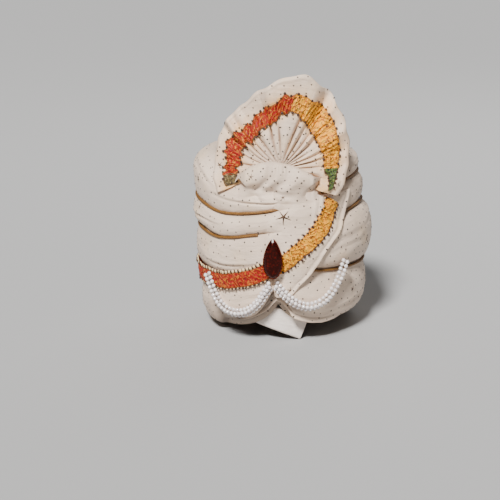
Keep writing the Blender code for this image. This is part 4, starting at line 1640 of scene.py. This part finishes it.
        y = cloth + (y - cloth) * ease(s, 0.0, wide) * (1 - ease(s, 1 - wide, 1.0)) + 0.0004 * (f < 0.5)
        a = np.linspace(lift, 1.5 * math.pi, self.roll_sides)[1:]
        return np.concatenate([
            np.stack([0 * t + x, y, z], axis=-1),
            np.stack([0 * a + x, middle - depth * np.cos(a), low + tall * (1 + np.sin(a))], axis=-1),
            [[x, max(near + 0.004, -0.118), foot_z + 0.001]]])

    @staticmethod
    def mound_ridge(share: Array, z: Array) -> tuple[Array, Array]:
        """Shares of the way past the ridge that runs aslant up the mound, and places up it."""
        up = (z - 0.212) / 0.030
        return share - (0.36 + 0.20 * ease(up, -0.3, 1.0) + 0.03 * np.sin(up * 5)), up

    def mound_relief(self, share: Array, points: Array) -> Array:
        """How far the mound's lobes and gathers stand forward.

        Args:
            share: Share of the way from the left end to the right.
            points: The mound's smooth form.

        Returns:
            Distances forward.
        """
        x, z = points[..., 0], points[..., 2]
        ridge, up = self.mound_ridge(share, z)
        front = np.clip(1 - (points[..., 1] - points[..., 1].min()) / 0.020, 0, 1) ** 0.5
        body = ease(z, 0.187, 0.200)
        crease = 0.208 - 0.004 * np.sin(np.pi * share) + 0.004 * np.sin(6.0 * share)
        out = ridges(ridge, self.mound_lobes)
        out = out - 0.0030 * bump(z, crease, 0.0045) * (1 - ease(share, 0.50, 0.78))
        out = out + 0.0010 * bump(z, crease - 0.009, 0.005)
        gather = np.sin(share * 105 + 3.5 * drift(share * 11, up, 0 * up, 71)) * ease(up, 0.35, 0.95)
        out = out * body + 0.0005 * gather * body * (0.4 + 0.6 * bump(share, 0.48, 0.28))
        ends = ease(share, 0.0, 0.08) * (1 - ease(share, 0.92, 1.0))
        return (out + 0.0007 * drift(x / 0.022, z / 0.014, 0 * x, 73) * body) * front * ends

    def build(self, finishes: Finishes, cloths: list[bpy.types.Object]) -> list[bpy.types.Object]:
        """Builds and dresses the crest.

        Args:
            finishes: The turban's finishes.
            cloths: The wraps and the drape that the mound runs down to.

        Returns:
            The cloth pieces.
        """
        fan = dress(self.cloth(), finishes.silk)
        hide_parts("crest_fan")
        trims = []
        for name, first, last, colour, sway, tail in self.strips:
            made = self.strip(name, first, last, colour, sway, tail).build(finishes)
            if colour is not Colour.OLIVE:
                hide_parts(name)
            trims += made
        roll = dress(self.roll(Surface(cloths)), finishes.silk)
        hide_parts("crest_roll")
        return [fan, roll]


@dataclass
class HeadBand:
    """The plain strip round the inside of the opening, with its square free end."""

    body: BodyForm
    height: float = 0.030
    wall: float = 0.0012
    proud: float = 0.0014
    lift: float = 0.026
    end_turn: float = 24.6
    lap: float = 350.0
    fall: float = 62.0

    def build(self, finishes: Finishes) -> None:
        """Builds and dresses the band.

        Args:
            finishes: The turban's finishes.
        """
        body = self.body
        turn = np.linspace(self.end_turn - self.lap, self.end_turn, 420)[:, None]
        middle = (body.head_width + body.head_depth) / 4
        fallen = np.clip((turn - self.end_turn + self.fall) / self.fall, 0, 1)
        foot = self.lift * (1 - fallen**1.6)
        slope = np.arctan(self.lift * 1.6 * fallen**0.6 / math.radians(self.fall) / middle)
        share = np.linspace(0, 1, 13)[None, :]
        at = turn + np.degrees(self.height * np.sin(slope) / middle) * share
        z = foot + self.height * np.cos(slope) * share
        bow = 0.0009 * np.sin(np.pi * share) + 0.0006 * drift(np.radians(at) * 3.0, z / 0.02, 0 * z, 81)
        points = body.wall(at, z, body.wall_gap - self.proud - 0.4 * bow)
        uv = np.stack([np.radians(at) * middle, z], axis=-1)
        piece = reshape("head_band", points, uv)
        face_toward(piece)
        thicken(piece, self.wall)
        dress(piece, finishes.band)
        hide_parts("head_band")


@dataclass
class Piping:
    """The twisted gold-brown cords in the grooves."""

    body: BodyForm
    diameter: float = 0.0034
    gap: float = 0.0005
    # how many times its clear radius the groove opens where the cord lies
    opening: float = 3.1
    # the strands' twist, radians for each metre, and how far they stand out, as a share of the radius
    lay: float = 1150.0
    strand_rise: float = 0.16
    # name, groove, from, to
    runs: tuple = (
        ("piping_upper", 3, -298.0, 7.0),
        ("piping_middle", 2, -307.0, -8.5),
        ("piping_lower", 1, 25.0, 177.0),
    )

    def seat(self, level: int, turn: float) -> Array:
        """The cord's middle at a turn, just far enough out for both wraps to clear it."""
        body, at = self.body, np.array(turn)
        groove = body.level(level, at)
        sizes = [body.size(k, at) for k in (level - 1, level)]
        floor = min(sizes) - body.groove
        need = (self.diameter / 2 + self.gap) * self.opening
        for tenth in range(2, 20):
            rise = tenth * body.groove / 20
            opening = []
            for index, own in zip((level - 1, level), sizes):
                half = (body.level(index + 1, at) - body.level(index, at)) / 2
                share = min(rise / (own - floor), 1.0)
                opening.append(half * (1 - (1 - share**body.fullness) ** (1 / body.fullness)))
            if sum(opening) >= need:
                break
        across, along = body.reach(level, at)
        a = math.radians(turn)
        outward = np.array([across * math.sin(a), -along * math.cos(a)])
        outward /= np.linalg.norm(outward)
        flat = outward * (floor + rise)
        return np.array([flat[0], flat[1], groove + (opening[1] - opening[0]) / 2])

    def build(self, finishes: Finishes) -> None:
        """Sweeps and dresses each cord.

        Args:
            finishes: The turban's finishes.
        """
        for name, level, first, last in self.runs:
            turns = np.linspace(first, last, int((last - first) / 0.45))
            line = np.array([self.seat(level, t) for t in turns])
            for _ in range(6):
                line[1:-1] = (line[:-2] + 2 * line[1:-1] + line[2:]) / 4
            run = run_along(line)
            tangent = np.gradient(line, axis=0)
            tangent /= np.linalg.norm(tangent, axis=1, keepdims=True)
            side = np.cross(tangent, np.array([0.0, 0.0, 1.0]))
            side /= np.linalg.norm(side, axis=1, keepdims=True)
            rise = np.cross(side, tangent)
            a = np.linspace(0, 2 * np.pi, 13)[None, :]
            strands = self.strand_rise * np.abs(np.cos(1.5 * a + run[:, None] * self.lay)) ** 0.7
            radius = self.diameter / 2 * (1 + strands - 0.10)
            radius[0] = radius[-1] = self.diameter * 0.02
            points = (line[:, None] + side[:, None] * (radius * np.cos(a))[..., None]
                      + rise[:, None] * (radius * np.sin(a))[..., None])
            uv = np.stack(np.broadcast_arrays(run[:, None], a * self.diameter / 2), axis=-1)
            piece = reshape(name, points, uv)
            close_up(piece)
            dress(piece, finishes.piping)
            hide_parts(name)


@dataclass
class BeadSwags:
    """The two swags of pearls, three strands each."""

    body: BodyForm
    strands: int = 3
    spacing: float = 0.0002

    def build(self, finishes: Finishes) -> None:
        """Strings and dresses the beads.

        Args:
            finishes: The turban's finishes.
        """
        for swag in (LEFT_SWAG, RIGHT_SWAG):
            for strand in range(self.strands):
                line = swag.line(self.body, strand, 240)
                run = run_along(line)
                count = int(run[-1] / (swag.bead + self.spacing))
                at = np.linspace(0.0, run[-1], count)
                spots = np.stack([np.interp(at, run, line[:, k]) for k in range(3)], axis=-1)
                deselect()
                bpy.ops.mesh.primitive_uv_sphere_add(segments=14, ring_count=9, radius=swag.bead / 2)
                places = []
                for k, spot in enumerate(spots):
                    size = 0.97 + 0.05 * ((k * 31 + strand * 7) % 13) / 13
                    turn = Matrix.Rotation(k * 2.4, 4, "Z") @ Matrix.Rotation(k * 1.3, 4, "X")
                    places.append(Matrix.Translation(spot) @ turn @ Matrix.Scale(size, 4))
                name = f"bead_strand_{swag.side}_{strand + 1}"
                piece = joined(name, bpy.context.object, places)
                dress(piece, finishes.pearl)
                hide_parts(name)


@dataclass
class Motifs:
    """The small dark dots and stars worked on the cloth."""

    spacing: float = 0.0118
    dot: float = 0.00135
    rise: float = 0.011
    # mean radius and height of the cloth that the dots go round
    reach: float = 0.122
    tall: float = 0.26
    # rows of dots on the crest, its foot, and dots to each side of the middle
    crest_rows: int = 16
    crest_foot: float = 0.212
    crest_side: int = 10
    # turn, height, size of the star
    stars: tuple = (
        (6.8, 0.1750, 0.0100), (11.0, 0.0765, 0.0046), (-60.0, 0.168, 0.0040), (-39.0, 0.139, 0.0056),
        (-17.5, 0.1765, 0.0030), (-7.6, 0.1765, 0.0030), (-61.0, 0.205, 0.0046), (6.5, 0.200, 0.0040),
        (60.0, 0.062, 0.0044), (75.0, 0.125, 0.0040), (110.0, 0.15, 0.0050), (-100.0, 0.13, 0.0050),
        (-140.0, 0.19, 0.0050), (160.0, 0.10, 0.0050), (-165.0, 0.05, 0.0050), (140.0, 0.21, 0.0050),
    )
    # across, up: stars on the fan and the roll
    crest_stars: tuple = (
        (-0.018, 0.2755, 0.0070), (-0.072, 0.232, 0.0052), (-0.058, 0.209, 0.0046), (-0.026, 0.226, 0.0044),
        (0.006, 0.207, 0.0036),
    )

    def build(self, cloths: list[bpy.types.Object], covers: list[bpy.types.Object],
              finishes: Finishes) -> None:
        """Scatters the dots and stars over what shows of the cloth.

        Args:
            cloths: The pieces that bear motifs.
            covers: The pieces that lie over them.
            finishes: The turban's finishes.
        """
        pieces = [*cloths, *covers]
        self.tree = Surface(pieces).tree
        self.bears = [piece in cloths for piece in pieces for _ in piece.data.polygons]
        dots = self.body_dots() + self.crest_dots()
        stars = []
        for turn, z, size in self.stars:
            stars += self.look_in(math.radians(turn), z, size)
        for x, z, size in self.crest_stars:
            stars += self.look(Vector((x, -LOOK_FROM, z)), Vector((0, 1, 0)), size)
        deselect()
        bpy.ops.mesh.primitive_cone_add(vertices=7, radius1=1.0, radius2=0.45, depth=0.5)
        dress(joined("cloth_dots", bpy.context.object, dots), finishes.motif)
        dress(joined("cloth_stars", self.star(), stars), finishes.star)

    def body_dots(self) -> list[Matrix]:
        """Scatters dots along a spiral round the body."""
        dots = []
        count = int(2 * math.pi * self.reach / self.spacing)
        for k in range(int(count * self.tall / self.rise)):
            rough = float(drift(np.array(k * 7.31), np.array(3.7), np.array(0.5), 91))
            other = float(drift(np.array(k * 3.13), np.array(9.1), np.array(2.5), 92))
            turn = 2 * math.pi * (k * 1.137 + 0.52 * rough) / (count + 0.43)
            z = k * 1.137 * self.rise / count + 0.50 * other * self.rise - 0.004
            dots += self.look_in(turn, z, self.dot * (1 + 0.25 * math.sin(k * 2.7)))
        return dots

    def crest_dots(self) -> list[Matrix]:
        """Scatters dots over the fan's front, the roll and the fan's back."""
        dots = []
        for row in range(self.crest_rows):
            for k in range(-self.crest_side, self.crest_side + 1):
                rough = float(drift(np.array(k * 5.17), np.array(row * 4.9), np.array(1.5), 93))
                x = (k + 0.5 * (row % 2) + 0.35 * rough) * self.spacing
                z = self.crest_foot + row * self.spacing * 0.9
                dots += self.look(Vector((x, -LOOK_FROM, z)), Vector((0, 1, 0)), self.dot)
                if z > 0.26:
                    dots += self.look(Vector((x, 0.0, z)), Vector((0, -1, 0)), self.dot)
        return dots

    def look_in(self, turn: float, z: float, size: float) -> list[Matrix]:
        """Looks level toward the turban's axis, from a turn in radians."""
        toward = Vector((-math.sin(turn), math.cos(turn), 0))
        return self.look(Vector((0, 0, z)) - toward * LOOK_FROM, toward, size)

    def look(self, start: Vector, toward: Vector, size: float) -> list[Matrix]:
        """Finds where a straight look first meets cloth that bears motifs.

        Args:
            start: Where the look starts.
            toward: Its direction.
            size: The motif's size.

        Returns:
            The motif's place, alone in a list, or an empty list.
        """
        spot, normal, index, _ = self.tree.ray_cast(start, toward)
        if spot is None or not self.bears[index] or normal.dot(toward) > -0.12:
            return []
        lean = 0.7 * math.sin(spot.x * 913 + spot.z * 577)
        along = Vector((math.cos(lean), 0.3 * math.sin(lean), math.sin(lean)))
        return [seat(spot + normal * 0.00005, normal, along, size)]

    @staticmethod
    def star() -> bpy.types.Object:
        """Models one thin five-armed star, flat on its back.

        Returns:
            The unit star, with arms of length 1.
        """
        bpy.ops.mesh.primitive_cylinder_add(vertices=10, radius=1.0, depth=0.10)
        star = bpy.context.object
        for vert in star.data.vertices:
            angle = math.atan2(vert.co.y, vert.co.x)
            arm = round((angle - math.pi / 2) / (math.pi / 5)) % 2 == 0
            vert.co.x *= 1.0 if arm else 0.17
            vert.co.y *= 1.0 if arm else 0.17
        return star


@dataclass
class Brooch:
    """The pear-shaped cut stone in its thin setting."""

    body: BodyForm
    length: float = 0.053
    width: float = 0.0255
    turn: float = 1.5
    sides: int = 28
    # how far the stone's back lies behind the setting's front
    sunk: float = 0.0037
    # inset, height, twist of each ring of facet corners
    rings: tuple = (
        (0.0018, 0.0010, 0.0), (0.0018, 0.0038, 0.0), (0.0040, 0.0058, 0.5), (0.0066, 0.0068, 0.0))
    claw: tuple = (0.0034, 0.0013, 0.0012)
    claw_place: tuple = (0.0022, 0.0046)

    def outline(self, inset: float, twist: float = 0.0) -> list[tuple[float, float]]:
        """A pear-shaped outline, point upward, as pairs of across and up."""
        length, width = self.length - 2 * inset, self.width - 2 * inset
        pairs = []
        for k in range(self.sides):
            a = 2 * math.pi * (k + twist) / self.sides
            up = (1 - math.cos(a)) / 2
            across = math.sin(a) * (1 - 0.42 * up) * (1 + 0.12 * math.sin(math.pi * up))
            pairs.append((across * width / 2 * 1.12, up * length + inset))
        return pairs

    def build(self, finishes: Finishes) -> None:
        """Cuts the stone, adds its claw and dresses both and the setting.

        Args:
            finishes: The turban's finishes.
        """
        low, high = (Vector(corner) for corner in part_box("brooch_setting"))
        a = math.radians(self.turn)
        outward = Vector((math.sin(a), -math.cos(a), 0))
        base = Vector(((low.x + high.x) / 2, low.y + self.sunk, low.z))
        dress(self.stone(base, outward), finishes.glass)
        deselect()
        bpy.ops.mesh.primitive_uv_sphere_add(segments=12, ring_count=8, radius=1.0)
        below, forward = self.claw_place
        tip = base + Vector((0, 0, self.length - below)) + outward * forward
        claw = seat(tip, outward, Vector((0, 0, 1))) @ Matrix.Diagonal((*self.claw, 1.0))
        dress(joined("brooch_claw", bpy.context.object, [claw]), finishes.pearl)
        setting = next(o for o in bpy.data.objects if o.name.startswith("brooch_setting"))
        setting.data.materials.clear()
        setting.data.materials.append(finishes.metal)

    def stone(self, base: Vector, outward: Vector) -> bpy.types.Object:
        """Cuts the stone from rings of facet corners.

        Args:
            base: Its foot, at the back.
            outward: Its facing.

        Returns:
            The stone.
        """
        shape = bmesh.new()
        side = Vector((0, 0, 1)).cross(outward)
        loops = []
        for inset, height, twist in self.rings:
            loops.append([shape.verts.new(base + side * x + Vector((0, 0, up)) + outward * height)
                          for x, up in self.outline(inset, twist)])
        twists = [ring[2] for ring in self.rings]
        for index, (inner, outer) in enumerate(zip(loops, loops[1:])):
            for k in range(self.sides):
                n = (k + 1) % self.sides
                if twists[index] == twists[index + 1]:
                    shape.faces.new((inner[k], inner[n], outer[n], outer[k]))
                elif twists[index + 1] > 0:
                    shape.faces.new((inner[k], inner[n], outer[k]))
                    shape.faces.new((inner[n], outer[n], outer[k]))
                else:
                    shape.faces.new((inner[k], outer[n], outer[k]))
                    shape.faces.new((inner[k], inner[n], outer[n]))
        shape.faces.new(loops[0])
        shape.faces.new(loops[-1])
        bmesh.ops.recalc_face_normals(shape, faces=shape.faces)
        mesh = bpy.data.meshes.new("brooch_stone")
        shape.to_mesh(mesh)
        shape.free()
        stone = bpy.data.objects.new("brooch_stone", mesh)
        bpy.context.collection.objects.link(stone)
        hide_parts("brooch_stone")
        return stone


@dataclass
class Studio:
    """The pale floor, the soft lights and the camera."""

    azimuth: float = 8.0
    elevation: float = 15.0
    distance: float = 2.4
    pixel: float = 0.00137
    centre: tuple = (283.0, 318.0)
    picture: int = 500
    sensor: float = 36.0
    look_height: float = 0.16
    # name, power, size, azimuth, elevation, distance
    lights: tuple = (
        ("fill", 2.4, 1.0, 44.0, 22.0, 2.0),
        ("back", 9.0, 1.2, 165.0, 45.0, 1.8),
    )
    # power, spread, azimuth, elevation
    key: tuple = (7.4, 0.18, -9.0, 45.0)

    def aim(self, azimuth: float, elevation: float) -> tuple[Vector, Vector, Vector]:
        """The back, right and up directions of a view."""
        a, e = math.radians(azimuth), math.radians(elevation)
        back = Vector((math.sin(a) * math.cos(e), -math.cos(a) * math.cos(e), math.sin(e)))
        right = Vector((math.cos(a), math.sin(a), 0))
        return back, right, back.cross(right)

    def place(self, data: object, azimuth: float, elevation: float, distance: float,
              centre: Vector) -> bpy.types.Object:
        """Adds a light or the camera, looking at a centre.

        Args:
            data: The light or the camera.
            azimuth: Where it stands round the turban.
            elevation: How high it stands, in degrees.
            distance: How far off.
            centre: What it looks at.

        Returns:
            The new object.
        """
        back, right, up = self.aim(azimuth, elevation)
        item = bpy.data.objects.new(data.name, data)
        item.matrix_world = (Matrix.Translation(centre + back * distance)
                             @ Matrix((right, up, back)).transposed().to_4x4())
        bpy.context.collection.objects.link(item)
        return item

    def build(self) -> None:
        """Sets the floor, the world, the lights and the camera."""
        deselect()
        bpy.ops.mesh.primitive_plane_add(size=60.0, location=(0, 0, -0.0004))
        floor = bpy.context.object
        floor.name = "floor"
        n = Nodes("pale_floor")
        floor.data.materials.append(n.surface({"Base Color": (0.40, 0.395, 0.39, 1.0), "Roughness": 0.9}))
        floor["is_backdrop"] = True
        world = bpy.data.worlds.new("studio")
        bpy.context.scene.world = world
        world.use_nodes = True
        world.node_tree.nodes["Background"].inputs[0].default_value = (0.93, 0.92, 0.91, 1.0)
        world.node_tree.nodes["Background"].inputs[1].default_value = 0.06
        for name, power, size, azimuth, elevation, distance in self.lights:
            lamp = bpy.data.lights.new(name, "AREA")
            lamp.energy = power
            lamp.size = size
            self.place(lamp, azimuth, elevation, distance, Vector((0, 0, self.look_height)))
        power, spread, azimuth, elevation = self.key
        lamp = bpy.data.lights.new("key", "SUN")
        lamp.energy = power
        lamp.angle = spread
        self.place(lamp, azimuth, elevation, 3.0, Vector())
        camera = bpy.data.cameras.new("camera")
        camera.lens = self.sensor * self.distance / (self.picture * self.pixel)
        camera.clip_end = 50
        _, right, up = self.aim(self.azimuth, self.elevation)
        across, down = ((at - self.picture / 2) * self.pixel for at in self.centre)
        bpy.context.scene.camera = self.place(camera, self.azimuth, self.elevation, self.distance,
                                              up * down - right * across)


def main() -> None:
    """Builds the turban from the hem up, then its studio."""
    logging.basicConfig(level=logging.INFO, format="%(message)s")
    Studio().build()
    finishes = Finishes()
    body = BodyForm()
    cloths = WoundBody(body).build(finishes)
    cloths += FrontDrape(body).build(finishes, cloths)
    cloths += FanCrest(body).build(finishes, cloths)
    HeadBand(body).build(finishes)
    Piping(body).build(finishes)
    BeadSwags(body).build(finishes)
    Brooch(body).build(finishes)
    names = ("braid", "piping", "bead_strand", "brooch")
    covers = [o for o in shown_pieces() if o.type == "MESH" and any(word in o.name for word in names)]
    Motifs().build(cloths, covers, finishes)


if __name__ == "__main__":
    main()
